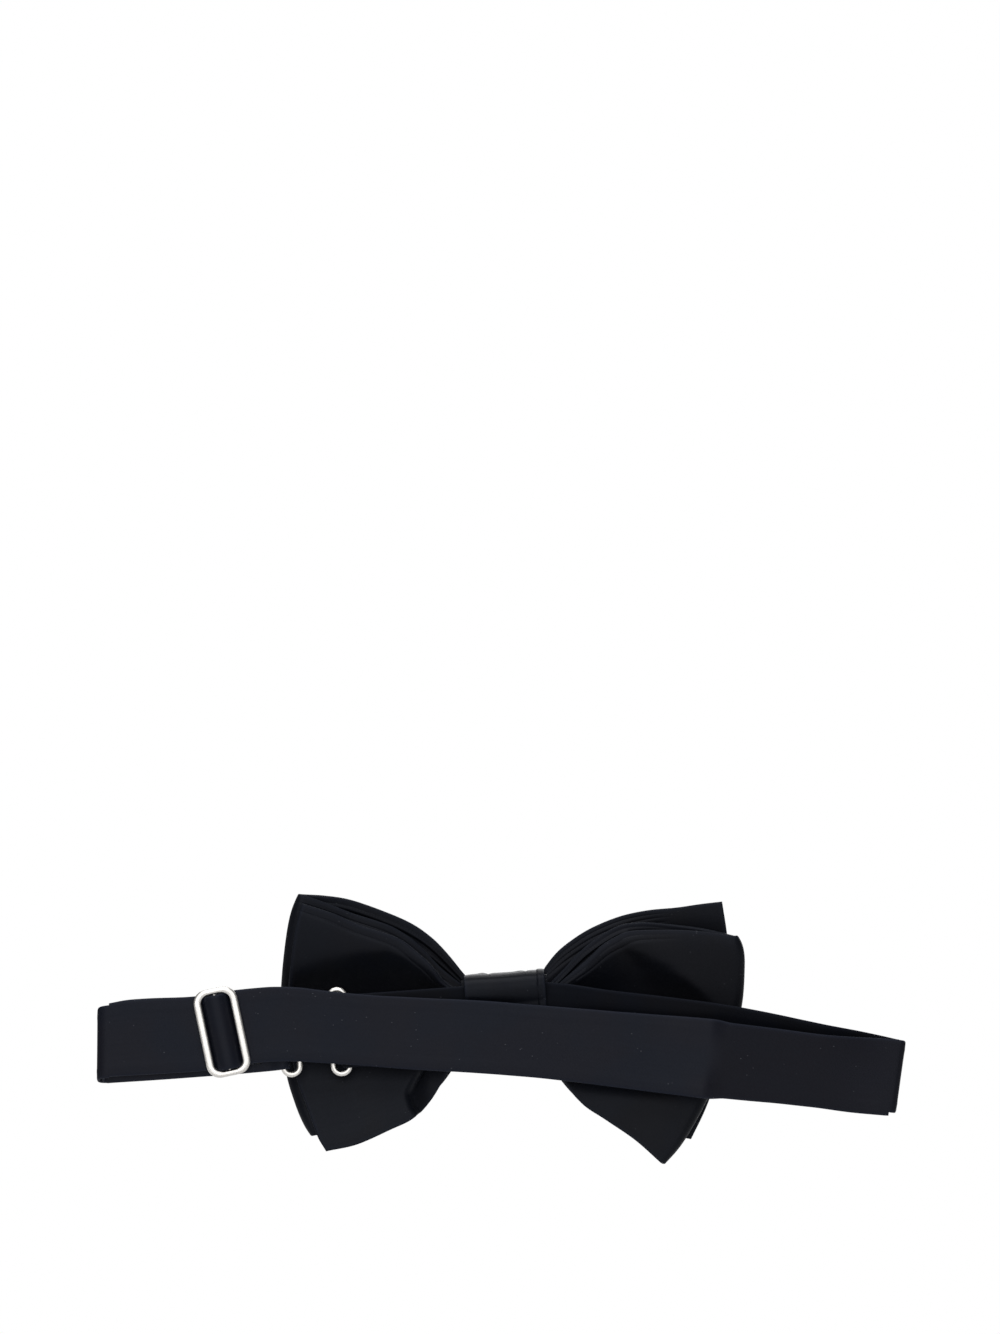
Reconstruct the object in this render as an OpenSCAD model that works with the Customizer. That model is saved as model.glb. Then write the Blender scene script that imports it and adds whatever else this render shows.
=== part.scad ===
// Pre-tied butterfly bow tie on an adjustable neck band that is folded flat behind it.
// Origin: centre of the knot's back face. +X is the wearer's left, -Y the bow's front, +Z up.

/* [Bow] */
// Width across both wings, mm
bow_w = 126; // [105:1:152]
// Height between the highest and the lowest wing corner, mm
bow_h = 74; // [61:1:89]
// Width of the knot, along the band
knot_w = 21.4; // [17.8:0.1:26]
// Depth of the knot, front to back
knot_d = 16; // [13.3:0.1:19.2]
// Wall of the knot's wrap, silk and interlining together
knot_wall = 1.4; // [1.1:0.1:1.7]
// Thickness of one ply of silk
silk_t = 0.4; // [0.3:0.02:0.5]
// Thickness of the wings' interlining
interlining_t = 0.7; // [0.5:0.05:0.9]

/* [Neck band] */
// Width of the neck band
band_w = 20; // [16:0.5:24]
// Thickness of the neck band, silk tube and interlining
band_t = 1; // [0.8:0.05:1.3]
// Distance from the knot's centre to the left fold
left_reach = 112; // [93:1:135]
// Distance from the knot's centre to the right fold
right_reach = 108.8; // [90:1:131]
// Length of the short band, from the knot's centre to the hook's bar
short_band_l = 43.7; // [38:0.1:52]

/* [Slider and clasp] */
// Width of the slider, along the band
slider_w = 12.3; // [11.2:0.1:15]
// Width of the slider's side bars
slider_bar = 2.2; // [1.8:0.1:2.6]
// Thickness of the slider's frame
slider_t = 1.6; // [1.3:0.1:2]
// Distance from the left fold's axis to the slider's centre bar
slider_from_fold = 31.4; // [26:0.1:37]
// Width of the eye and of the hook's ring
ring_w = 6; // [5.4:0.1:7.2]
// Width of their bars
ring_bar = 1.5; // [1.25:0.05:1.7]
// Thickness of the eye and the hook
ring_t = 1.4; // [1.2:0.1:1.7]
// Width of the hook's tongue
tongue_w = 8; // [6:0.5:10]
// Distance between the hook's ring and the eye, centre to centre
clasp_span = 13.5; // [12.5:0.1:16]

/* [Hidden] */
$fn = 48;

silk_color = [0.035, 0.04, 0.06];
band_color = [0.05, 0.06, 0.09];
lining_color = [0.75, 0.73, 0.68];
thread_color = [0.08, 0.09, 0.13];
metal_color = [0.86, 0.83, 0.78];

// Clearances
lay_gap = 0.2;        // between layers of the band that lie on each other
knot_clear = 0.3;     // between the band and the inside of the knot's wrap
side_clear = 0.6;     // between the band's edge and the slider's end bar
ring_clear = 0.8;     // between the band's edge and the end of an oval ring
ply_gap = 0.06;       // between a ply of silk and the interlining
join_gap = 0.2;       // between pieces that meet end to end
bar_clear = 0.12;     // between a bar and the band that wraps it
sleeve_wall = 0.2;    // one wall of the band's silk tube
seam_w = 0.7;         // the tube's seam allowance, where it holds no interlining

// Knot
knot_silk = 0.6;                                          // outer part of the wrap's wall
knot_h = band_w + 2 * (knot_wall + 1.6);                  // the band passes through it
knot_r = 3;                                               // corner radius of its section
knot_tilt = 4;                                            // it leans to the wearer's right
knot_mid_y = -knot_d / 2;

// Levels of the band's layers, as the middle of each layer
band_y = -(knot_wall + knot_clear + band_t / 2);          // inner layer, through the knot
end_y = band_y + band_t + lay_gap;                        // turned-back ends
tail_fold_r = band_t / 2 + 0.4;                           // inner layer's bend at the left fold
fold_y = end_y + tail_fold_r;                             // both folds' axes
fold_r = fold_y - band_y;                                 // outer layer's bend
run_y = fold_y + fold_r;                                  // outer run
tail_y = fold_y + tail_fold_r;                            // tail under the outer run
fit_y = (band_y + end_y) / 2;                             // eye and hook, between two layers

// Folds
left_fold_x = left_reach - fold_r - band_t / 2;
left_fold_z = -6.4;
left_fold_tilt = 4;
right_fold_x = -(right_reach - fold_r - band_t / 2);
right_fold_z = -15.9;
right_fold_tilt = -8;
run_tilt = 4.9;                                           // slope of the outer run's left stretch
bend_x = 57;                                              // where that stretch ends

// Routes of the band's middle line, x and z, chosen by hand
function left_stretch(x) = [x, left_fold_z + (left_fold_x - x) * tan(run_tilt)];
outer_route = [
  [right_fold_x, right_fold_z], [right_fold_x + 18.2, right_fold_z + 1.8], [-56, -11],
  [-36, -9], [7, -5.1], [29, -3.7], [43, -2.4], left_stretch(bend_x),
  left_stretch((bend_x + left_fold_x) / 2), left_stretch(left_fold_x)];
long_route = [
  [right_fold_x, right_fold_z], [right_fold_x + 7.2, right_fold_z + 1.6],
  [0.7 * (right_fold_x + 26.2) - 24, right_fold_z + 6.1], [-58, -5.7], [-30, -2.4],
  [-knot_w / 2, -0.2], [0, -0.4]];
short_slope = 4.1;
function short_at(x) = [x, -0.5 - x * tan(short_slope)];

// Clasp
hook_bar_x = short_band_l;
hook_x = hook_bar_x + ring_w / 2 - ring_bar / 2;
hook_z = short_at(hook_x)[1];
eye_x = hook_x + clasp_span;
eye_z = -4;
eye_bar_x = eye_x + ring_w / 2 - ring_bar / 2;
end_slope = atan2(eye_z - left_fold_z, left_fold_x - eye_bar_x);
ring_h = band_w + 2 * (ring_clear + ring_bar);
band_loop_r = norm([ring_bar, ring_t]) / 2 + bar_clear;   // inside of the band around a bar
tongue_t = 0.9;
tongue_drop = 0.35;                                       // below the eye's bar
tip_t = 0.8;
tip_clear = 0.35;                                         // between the tip and the eye's bar
turned_l = 11;                                            // turned-back end of the short band

// Slider
slider_end_bar = 1.6;
slider_h = band_w + 2 * (side_clear + slider_end_bar);
slider_r = 3.8;
slider_x = left_fold_x - slider_from_fold;
slider_lean = 12;
slider_lift = 0.3;                                        // above the outer run
slider_y = run_y + band_t / 2 + slider_lift + slider_t / 2;
mid_bar_r = 0.55;
tail_loop_t = 0.4;
crossover_t = 0.8;

// Wings. A panel is given by its top edge, bottom edge and crease. Each is a quadratic curve
// from the waist, with its control point and its outer corner as shares of the half width
// and of the half height, and with their depth in millimetres behind (+) or before (-) zero.
half_w = bow_w / 2;
half_h = bow_h / 2;
waist_x = knot_w / 2 + 1.3;
panel_t = interlining_t + 2 * (silk_t + ply_gap);
back_y = band_y - band_t / 2 - 0.9 - panel_t / 2;         // back panel at the waist
front_y = -knot_d + knot_wall + panel_t / 2 + 0.8;        // front panel at the waist
loop_r = 1.9;                                             // bend at a loop's outer edge
rows = 9;                                                 // points from edge to edge
steps = 9;                                                // points from the waist outwards

// [top, crease, bottom]; each [start, control, end]; each point [x share, y, z share]
function edge(s, w, c, e) =
  [[s * waist_x, w[0], w[1] * half_h], [s * c[0] * half_w, c[1], c[2] * half_h],
   [s * e[0] * half_w, e[1], e[2] * half_h]];
left_tail = [
  edge(1, [back_y, 0.15], [0.35, -3.5, 0.65], [0.895, -4, 0.845]),
  edge(1, [back_y - 0.8, -0.05], [0.5, -8.6, -0.06], [0.972, -9, -0.08]),
  edge(1, [back_y, -0.27], [0.35, -3.5, -0.84], [0.787, -3.6, -0.985])];
right_tail = [
  edge(-1, [front_y, 0.32], [0.38, -14.5, 0.9], [0.937, -11.5, 0.857]),
  edge(-1, [front_y - 0.3, 0], [0.5, -20, -0.02], [0.97, -15.6, -0.03]),
  edge(-1, [front_y, -0.35], [0.35, -14.5, -0.78], [0.8, -12, -0.9])];
left_loop = [
  edge(1, [front_y + 1.6, 0.27], [0.4, -12.4, 0.84], [0.87, -9.6, 0.92]),
  edge(1, [front_y + 1.4, 0], [0.5, -14.5, -0.04], [0.96, -13.9, -0.08]),
  edge(1, [front_y + 1.6, -0.35], [0.4, -12.4, -0.78], [0.82, -9.8, -0.9])];
right_loop = [
  edge(-1, [back_y - 1.6, 0.15], [0.41, -6, 0.81], [0.975, -6.2, 0.608]),
  edge(-1, [back_y - 2.2, -0.03], [0.5, -9.8, 0], [0.997, -10.2, 0]),
  edge(-1, [back_y - 1.6, -0.3], [0.27, -5.8, -0.62], [0.66, -6, -1.07])];

function curve(e, u) = (1 - u) * (1 - u) * e[0] + 2 * u * (1 - u) * e[1] + u * u * e[2];
// A point of a panel: v runs from 1 at the top edge through 0 at the crease to -1.
function panel(p, u, v) = curve(p[0], u) * v * (v + 1) / 2 + curve(p[1], u) * (1 - v * v)
  + curve(p[2], u) * v * (v - 1) / 2;
function row_v(j) = 1 - 2 * j / (rows - 1);
function tail_grid(p) = [for (i = [0:steps - 1]) [for (j = [0:rows - 1])
  panel(p, i / (steps - 1), row_v(j))]];
// A loop is two panels a little apart, joined by a half-round bend at the outer edge.
function loop_gap(u, v) = loop_r * (0.62 + 0.38 * u) + 1.3 * sin(180 * u) * (1 - 0.6 * v * v);
function loop_grid(p, s) = concat(
  [for (i = [0:steps - 1]) let(u = i / (steps - 1)) [for (j = [0:rows - 1])
    panel(p, u, row_v(j)) - [0, loop_gap(u, row_v(j)), 0]]],
  [for (a = [-60:30:60]) [for (j = [0:rows - 1])
    panel(p, 1, row_v(j)) + loop_r * [s * cos(a), sin(a), 0]]],
  [for (i = [0:steps - 1]) let(u = 1 - i / (steps - 1)) [for (j = [0:rows - 1])
    panel(p, u, row_v(j)) + [0, loop_gap(u, row_v(j)), 0]]]);

function grid_normal(g, i, j) = let(
  along = g[min(i + 1, len(g) - 1)][j] - g[max(i - 1, 0)][j],
  across = g[i][min(j + 1, len(g[0]) - 1)] - g[i][max(j - 1, 0)],
  n = cross(along, across)) n / norm(n);

// A ply: the grid's surface, given thickness between two offsets along its normals.
module ply(g, low, high) {
  n = len(g);
  m = len(g[0]);
  points = [for (o = [low, high]) for (i = [0:n - 1]) for (j = [0:m - 1])
    g[i][j] + o * grid_normal(g, i, j)];
  upper = n * m;
  cells = [for (i = [0:n - 2]) for (j = [0:m - 2]) i * m + j];
  rim = concat([for (j = [0:m - 2]) [j, j + 1]],
    [for (i = [0:n - 2]) [i * m + m - 1, (i + 1) * m + m - 1]],
    [for (j = [m - 1:-1:1]) [(n - 1) * m + j, (n - 1) * m + j - 1]],
    [for (i = [n - 1:-1:1]) [i * m, (i - 1) * m]]);
  polyhedron(points = points, faces = concat(
    [for (k = cells) each [[k, k + m, k + 1], [k + 1, k + m, k + m + 1]]],
    [for (k = cells) each [[upper + k, upper + k + 1, upper + k + m],
      [upper + k + 1, upper + k + m + 1, upper + k + m]]],
    [for (e = rim) each [[e[0], e[1], upper + e[0]], [e[1], upper + e[1], upper + e[0]]]]));
}

ply_low = interlining_t / 2 + ply_gap;
module inner_lining(g) color(lining_color) ply(g, -interlining_t / 2, interlining_t / 2);
module silk(g, side) color(silk_color)
  ply(g, side > 0 ? ply_low : -ply_low - silk_t, side > 0 ? ply_low + silk_t : -ply_low);

module left_tail_back_silk() silk(tail_grid(left_tail), -1);
module left_tail_interlining() inner_lining(tail_grid(left_tail));
module left_tail_front_silk() silk(tail_grid(left_tail), 1);
module right_tail_back_silk() silk(tail_grid(right_tail), 1);
module right_tail_interlining() inner_lining(tail_grid(right_tail));
module right_tail_front_silk() silk(tail_grid(right_tail), -1);
module left_loop_outer_silk() silk(loop_grid(left_loop, 1), -1);
module left_loop_interlining() inner_lining(loop_grid(left_loop, 1));
module left_loop_inner_silk() silk(loop_grid(left_loop, 1), 1);
module right_loop_outer_silk() silk(loop_grid(right_loop, -1), 1);
module right_loop_interlining() inner_lining(loop_grid(right_loop, -1));
module right_loop_inner_silk() silk(loop_grid(right_loop, -1), -1);

// A flat shape in x and z, given depth between two values of y
module plate(low, high) rotate([90, 0, 0]) translate([0, 0, -high])
  linear_extrude(high - low) children();
// A rectangle with round corners, centred
module rounded(w, h, r) {
  square([w - 2 * r, h], center = true);
  square([w, h - 2 * r], center = true);
  for (x = [-1, 1], y = [-1, 1]) translate([x * (w / 2 - r), y * (h / 2 - r)]) circle(r);
}

// Knot: sections in y and z, carried along x
module knot_ring(inset, wall, width) translate([0, knot_mid_y, 0]) rotate([0, knot_tilt, 0])
  rotate([90, 0, 90]) linear_extrude(width, center = true) difference() {
    rounded(knot_d - 2 * inset, knot_h - 2 * inset, knot_r - inset);
    rounded(knot_d - 2 * (inset + wall), knot_h - 2 * (inset + wall), knot_r - inset - wall);
  }
module knot_wrap() color(silk_color) knot_ring(0, knot_silk, knot_w);
module knot_interlining() color(lining_color)
  knot_ring(knot_silk + ply_gap, knot_wall - knot_silk - ply_gap, knot_w - 2);

// The gathered middle of the wings' cloth, inside the knot and behind nothing but the band
waist_back = band_y - band_t / 2 - join_gap - 0.6;
waist_front = -knot_d + knot_wall + join_gap + 0.6;
waist_h = knot_h - 2 * (knot_wall + 1.4);
thread_wall = 0.5;
module waist_section(grow) translate([(waist_back + waist_front) / 2, 0])
  rounded(waist_back - waist_front + 2 * grow, waist_h + 2 * grow, 2 + grow);
module waist_body(width, grow) rotate([0, knot_tilt, 0]) rotate([90, 0, 90])
  linear_extrude(width, center = true) waist_section(grow);
pleats = 4;
module pleated_waist() color(silk_color) difference() {
  waist_body(knot_w + 0.2, 0);
  rotate([0, knot_tilt, 0]) for (k = [1:pleats], s = [-1, 1])
    translate([s * knot_w / 2, (waist_back + waist_front) / 2, waist_h * (k / (pleats + 1) - 0.5)])
      cube([knot_w / 2, waist_back - waist_front + 1, 0.5], center = true);
}
module waist_thread() color(thread_color) difference() {
  waist_body(2.4, 0.05 + thread_wall);
  waist_body(3, 0.05);
}
stitch_l = 1.6;
stitch_r = 0.2;
module stitch(length) rotate([0, 90, 0]) cylinder(r = stitch_r, h = length, center = true);
module wrap_seam_stitches() color(thread_color) rotate([0, knot_tilt, 0]) for (k = [-3:3])
  translate([0, stitch_r + 0.03, k * knot_h / 9]) stitch(stitch_l);

// A smooth line through the points of a route, and the outline of a band along it
samples = 4;
function smooth(p) = concat([for (i = [0:len(p) - 2], k = [0:samples - 1]) let(
  t = k / samples, a = p[i], b = p[i + 1],
  m0 = i > 0 ? (b - p[i - 1]) / 2 : b - a,
  m1 = i < len(p) - 2 ? (p[i + 2] - a) / 2 : b - a)
  (2 * pow(t, 3) - 3 * t * t + 1) * a + (pow(t, 3) - 2 * t * t + t) * m0
  + (3 * t * t - 2 * pow(t, 3)) * b + (pow(t, 3) - t * t) * m1], [p[len(p) - 1]]);
function side_step(l, i) = let(d = l[min(i + 1, len(l) - 1)] - l[max(i - 1, 0)])
  [-d[1], d[0]] / norm(d);
module band_outline(route, w) {
  l = smooth(route);
  polygon(concat([for (i = [0:len(l) - 1]) l[i] + w / 2 * side_step(l, i)],
    [for (i = [len(l) - 1:-1:0]) l[i] - w / 2 * side_step(l, i)]));
}
// The route without its last stretch of the given length at each end
function shortened(p, first, last) = let(n = len(p) - 1,
  a = p[1] - p[0], b = p[n - 1] - p[n])
  concat([p[0] + a * first / norm(a)], [for (i = [1:n - 1]) p[i]], [p[n] + b * last / norm(b)]);
// The silk tube is open inside, where its interlining lies.
module band_tube(route, y) difference() {
  plate(y - band_t / 2, y + band_t / 2) band_outline(route, band_w);
  plate(y - band_t / 2 + sleeve_wall, y + band_t / 2 - sleeve_wall)
    band_outline(shortened(route, -1, -1), band_w - 2 * seam_w);
}
module band_lining(route, y) color(lining_color)
  plate(y - band_t / 2 + sleeve_wall + ply_gap, y + band_t / 2 - sleeve_wall - ply_gap)
    band_outline(shortened(route, 0.5, 0.5), band_w - 2 * (seam_w + ply_gap));

outer_piece = shortened(outer_route, join_gap + 0.4, join_gap + 0.4);
long_piece = shortened(long_route, join_gap + 0.8, join_gap / 2);
short_piece = [short_at(join_gap / 2), short_at(knot_w / 2), short_at(hook_bar_x)];
module outer_run() color(band_color) band_tube(outer_piece, run_y);
module outer_run_interlining() band_lining(outer_piece, run_y);
module long_band() color(band_color) band_tube(long_piece, band_y);
module long_band_interlining() band_lining(long_piece, band_y);

// A band's end that is wrapped around a bar: a round loop with the band and its turned-back
// end leaving it towards -x, in the bar's own frame
module wrapped_end(length, turned) translate([0, 0, -band_w / 2]) linear_extrude(band_w)
  difference() {
    union() {
      circle(band_loop_r + band_t);
      translate([-length, band_y - fit_y - band_t / 2]) square([length, band_t]);
      translate([-turned, end_y - fit_y - band_t / 2]) square([turned, band_t]);
    }
    circle(band_loop_r);
  }
module at_hook_bar() translate([hook_bar_x, fit_y, short_at(hook_bar_x)[1]])
  rotate([0, short_slope, 0]) children();
lining_start = -short_band_l + 1;
lining_end = -band_loop_r - 2.4;
module short_lining_box(grow) at_hook_bar()
  translate([lining_start - grow, band_y - fit_y - band_t / 2 + sleeve_wall + ply_gap - grow,
    -band_w / 2 + seam_w + ply_gap - grow])
  cube([lining_end - lining_start + 2 * grow, band_t - 2 * (sleeve_wall + ply_gap) + 2 * grow,
    band_w - 2 * (seam_w + ply_gap) + 2 * grow]);
module short_band() color(band_color) difference() {
  at_hook_bar() wrapped_end(short_band_l - join_gap, turned_l);
  short_lining_box(ply_gap);
}
module short_band_interlining() color(lining_color) short_lining_box(0);
module stitch_row(x, y, pitch) for (k = [-4:4]) translate([x, y, k * pitch]) stitch(stitch_l);
module short_band_tack() color(thread_color) at_hook_bar()
  stitch_row(-turned_l + stitch_l, end_y - fit_y + band_t / 2 + stitch_r + 0.02, band_w / 9.5);

// The band's end on the eye: both layers, joined by the loop around the eye's bar
module at_eye_bar() translate([eye_bar_x, fit_y, eye_z]) rotate([0, end_slope, 0]) children();
end_l = (left_fold_x - eye_bar_x) / cos(end_slope) - join_gap - 0.4;
module band_end() color(band_color) at_eye_bar() mirror([1, 0, 0]) wrapped_end(end_l, end_l);
module band_end_tack() color(thread_color) at_eye_bar()
  stitch_row(7, end_y - fit_y + band_t / 2 + stitch_r + 0.02, band_w / 9.5);

// A half-round bend of the band about a fold's axis; s is 1 when it bulges towards +x
module bend(r, s) intersection() {
  difference() {
    cylinder(r = r + band_t / 2, h = band_w, center = true);
    cylinder(r = r - band_t / 2, h = band_w + 2, center = true);
  }
  translate([s * (r + band_t), 0, 0])
    cube([2 * (r + band_t), 3 * (r + band_t), band_w + 2], center = true);
}
module right_fold() color(band_color) translate([right_fold_x, fold_y, right_fold_z])
  rotate([0, right_fold_tilt, 0]) bend(fold_r, -1);
module left_fold() color(band_color) translate([left_fold_x, fold_y, left_fold_z])
  rotate([0, left_fold_tilt, 0]) {
    bend(fold_r, 1);
    bend(tail_fold_r, 1);
  }
// The tail between the left fold and the slider, under the outer run
module tail_run() color(band_color) plate(tail_y - band_t / 2, tail_y + band_t / 2)
  band_outline([left_stretch(slider_x), left_stretch(left_fold_x - join_gap - 0.4)], band_w - 0.4);

// Slider: a flat frame on the outer run, with a middle bar that the band crosses
module at_slider() translate([slider_x, slider_y, left_stretch(slider_x)[1]]) children();
module slider() color(metal_color) at_slider() rotate([0, slider_lean, 0]) {
  plate(-slider_t / 2, slider_t / 2) difference() {
    rounded(slider_w, slider_h, slider_r);
    rounded(slider_w - 2 * slider_bar, slider_h - 2 * slider_end_bar, slider_r - slider_end_bar);
  }
  cylinder(r = mid_bar_r, h = slider_h - slider_end_bar, center = true);
}
module sleeve(inner, wall) difference() {
  circle(inner + wall);
  circle(inner);
}
module tail_loop() color(band_color) at_slider() rotate([0, slider_lean, 0])
  linear_extrude(band_w - 0.6, center = true) sleeve(mid_bar_r + bar_clear, tail_loop_t);
// The band's wave over the middle bar, seen in the slider's window
module band_crossover() color(band_color) at_slider() rotate([0, slider_lean, 0])
  linear_extrude(band_w - 0.2, center = true) {
    inner = mid_bar_r + tail_loop_t + 2 * bar_clear;
    foot = slider_t / 2 + slider_lift - 0.08;
    intersection() {
      sleeve(inner, crossover_t);
      translate([-10, 0]) square([20, 10]);
    }
    for (s = [-1, 1]) translate([s * (inner + crossover_t / 2), -foot / 2])
      square([crossover_t, foot], center = true);
  }

// Eye: a ring. Hook: the same ring with a tongue that reaches through the eye.
module ring() plate(-ring_t / 2, ring_t / 2) difference() {
  rounded(ring_w, ring_h, ring_w / 2 - 0.05);
  rounded(ring_w - 2 * ring_bar, ring_h - 2 * ring_bar, ring_w / 2 - ring_bar - 0.05);
}
module eye() color(metal_color) translate([eye_x, fit_y, eye_z]) rotate([0, end_slope, 0]) ring();
tongue_top = -ring_t / 2 - tongue_drop;
tip_x = clasp_span - ring_w / 2 + ring_bar + tip_clear;
module hook() color(metal_color) translate([hook_x, fit_y, hook_z]) rotate([0, short_slope, 0]) {
  ring();
  translate([ring_w / 2 - ring_bar, tongue_top - tongue_t, -tongue_w / 2])
    cube([ring_bar, tongue_t - tongue_top, tongue_w]);
  translate([ring_w / 2 - ring_bar, tongue_top - tongue_t, -tongue_w / 2])
    cube([tip_x + tip_t - ring_w / 2 + ring_bar, tongue_t, tongue_w]);
  translate([tip_x, tongue_top - tongue_t, -tongue_w / 2])
    cube([tip_t, tongue_t - tongue_top + ring_t / 4, tongue_w]);
}

left_tail_back_silk();
left_tail_interlining();
left_tail_front_silk();
left_loop_outer_silk();
left_loop_interlining();
left_loop_inner_silk();
right_loop_outer_silk();
right_loop_interlining();
right_loop_inner_silk();
right_tail_back_silk();
right_tail_interlining();
right_tail_front_silk();
pleated_waist();
waist_thread();
knot_wrap();
knot_interlining();
wrap_seam_stitches();
short_band();
short_band_interlining();
short_band_tack();
long_band();
long_band_interlining();
right_fold();
outer_run();
outer_run_interlining();
left_fold();
tail_run();
slider();
band_crossover();
tail_loop();
band_end();
band_end_tack();
eye();
hook();
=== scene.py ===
import bmesh
import bpy
import numpy as np
from bpy.props import FloatProperty, FloatVectorProperty, PointerProperty
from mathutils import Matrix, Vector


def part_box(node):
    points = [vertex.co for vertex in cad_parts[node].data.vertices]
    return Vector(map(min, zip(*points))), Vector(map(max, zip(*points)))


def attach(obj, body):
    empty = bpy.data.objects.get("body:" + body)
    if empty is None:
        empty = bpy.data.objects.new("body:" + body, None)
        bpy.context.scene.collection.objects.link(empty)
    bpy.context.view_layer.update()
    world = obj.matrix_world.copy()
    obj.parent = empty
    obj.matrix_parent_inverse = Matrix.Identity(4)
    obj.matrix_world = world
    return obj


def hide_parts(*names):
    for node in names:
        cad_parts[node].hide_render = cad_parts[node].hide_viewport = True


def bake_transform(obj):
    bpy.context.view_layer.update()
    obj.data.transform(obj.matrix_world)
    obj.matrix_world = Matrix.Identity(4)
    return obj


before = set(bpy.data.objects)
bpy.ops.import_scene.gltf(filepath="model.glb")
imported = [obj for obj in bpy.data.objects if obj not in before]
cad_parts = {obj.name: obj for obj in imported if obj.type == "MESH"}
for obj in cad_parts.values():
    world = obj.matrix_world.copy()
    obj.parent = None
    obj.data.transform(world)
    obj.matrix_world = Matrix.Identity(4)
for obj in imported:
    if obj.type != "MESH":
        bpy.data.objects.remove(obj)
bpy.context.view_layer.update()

bl_info = {
    "name": "Butterfly bow tie",
    "version": (1, 0, 0),
    "blender": (4, 5, 0),
    "location": "3D view > Sidebar > Bow tie",
    "description": "Makes a pre-tied butterfly bow tie with its folded neck band, slider and clasp",
    "category": "Add Mesh",
}

MM = 0.001
pi = np.pi


def middle(node):
    """The middle of a CAD node's box, in millimetres."""
    low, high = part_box(node)
    return (np.array(low) + np.array(high)) / 2 / MM


# Levels of the band's layers, in millimetres behind the knot's back face
RUN_Y = middle("outer_run")[1]
TAIL_Y = middle("tail_run")[1]
INNER_Y = middle("long_band")[1]
FOLD_Y = middle("right_fold")[1]
FIT_Y = middle("eye")[1]
END_Y = 2 * FIT_Y - INNER_Y
FOLD_R = RUN_Y - FOLD_Y
TAIL_FOLD_R = TAIL_Y - FOLD_Y

# The places the neck band is led through, x and z, and the lean of what crosses it, in degrees
LEFT_FOLD, LEFT_LEAN = (109.4, -6.4), 4.0
RIGHT_FOLD, RIGHT_LEAN = (-106.2, -15.9), -8.0
RUN_TILT = 4.9
SHORT_SLOPE = 4.1
HOOK_BAR = (43.7, -0.5 - 43.7 * np.tan(np.radians(SHORT_SLOPE)))
EYE_BAR = (61.7, -4.0)
END_SLOPE = np.degrees(np.arctan2(EYE_BAR[1] - LEFT_FOLD[1], LEFT_FOLD[0] - EYE_BAR[0]))
KNOT_TILT = 4.0
BACK_DROP = 1.5      # how far the band's turned-back end hangs below the run at the left fold, mm


def left_stretch(x):
    """A place on the outer run's straight left stretch."""
    return x, LEFT_FOLD[1] + (LEFT_FOLD[0] - x) * np.tan(np.radians(RUN_TILT))


OUTER_ROUTE = [RIGHT_FOLD, (-88, -14.1), (-56, -11), (-36, -9), (7, -5.1), (29, -3.7), (43, -2.4),
               left_stretch(57), left_stretch(83), LEFT_FOLD]
LONG_ROUTE = [RIGHT_FOLD, (-99, -14.3), (-80, -10.2), (-58, -5.9), (-30, -2.4), (-10.7, -0.2), (2, -0.4)]

# A panel of a wing is given by its top edge, crease and bottom edge: three points each, as shares
# of half the bow's width and height, with the depth in millimetres
BACK_Y, FRONT_Y = -4.41, -13.19


def edge(side, waist, bow, end):
    """An edge's three points: at the knot, the one that bends it, and its outer corner."""
    return np.array([[side * 0.1905, waist[0], waist[1]], [side * bow[0], bow[1], bow[2]],
                     [side * end[0], end[1], end[2]]], float)


LEFT_TAIL = (edge(1, (BACK_Y, 0.15), (0.35, -3.5, 0.65), (0.895, -4, 0.845)),
             edge(1, (BACK_Y - 0.8, -0.05), (0.5, -8.6, -0.06), (0.972, -9, -0.08)),
             edge(1, (BACK_Y, -0.27), (0.35, -3.5, -0.84), (0.787, -3.6, -0.985)))
RIGHT_TAIL = (edge(-1, (FRONT_Y, 0.32), (0.38, -14.5, 0.9), (0.937, -11.5, 0.857)),
              edge(-1, (FRONT_Y - 0.3, 0), (0.5, -20, -0.02), (0.97, -15.6, -0.03)),
              edge(-1, (FRONT_Y, -0.35), (0.35, -14.5, -0.78), (0.8, -12, -0.9)))
LEFT_LOOP = (edge(1, (FRONT_Y + 1.6, 0.27), (0.4, -12.4, 0.84), (0.87, -9.6, 0.92)),
             edge(1, (FRONT_Y + 1.4, 0), (0.5, -14.5, -0.04), (0.96, -13.9, -0.08)),
             edge(1, (FRONT_Y + 1.6, -0.35), (0.4, -12.4, -0.78), (0.82, -9.8, -0.9)))
RIGHT_LOOP = (edge(-1, (BACK_Y - 1.6, 0.15), (0.41, -6, 0.81), (0.975, -6.2, 0.608)),
              edge(-1, (BACK_Y - 2.2, -0.03), (0.5, -9.8, 0), (0.997, -10.2, 0)),
              edge(-1, (BACK_Y - 1.6, -0.3), (0.27, -5.8, -0.62), (0.66, -6, -1.07)))
LOOP_R = 1.9

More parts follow.
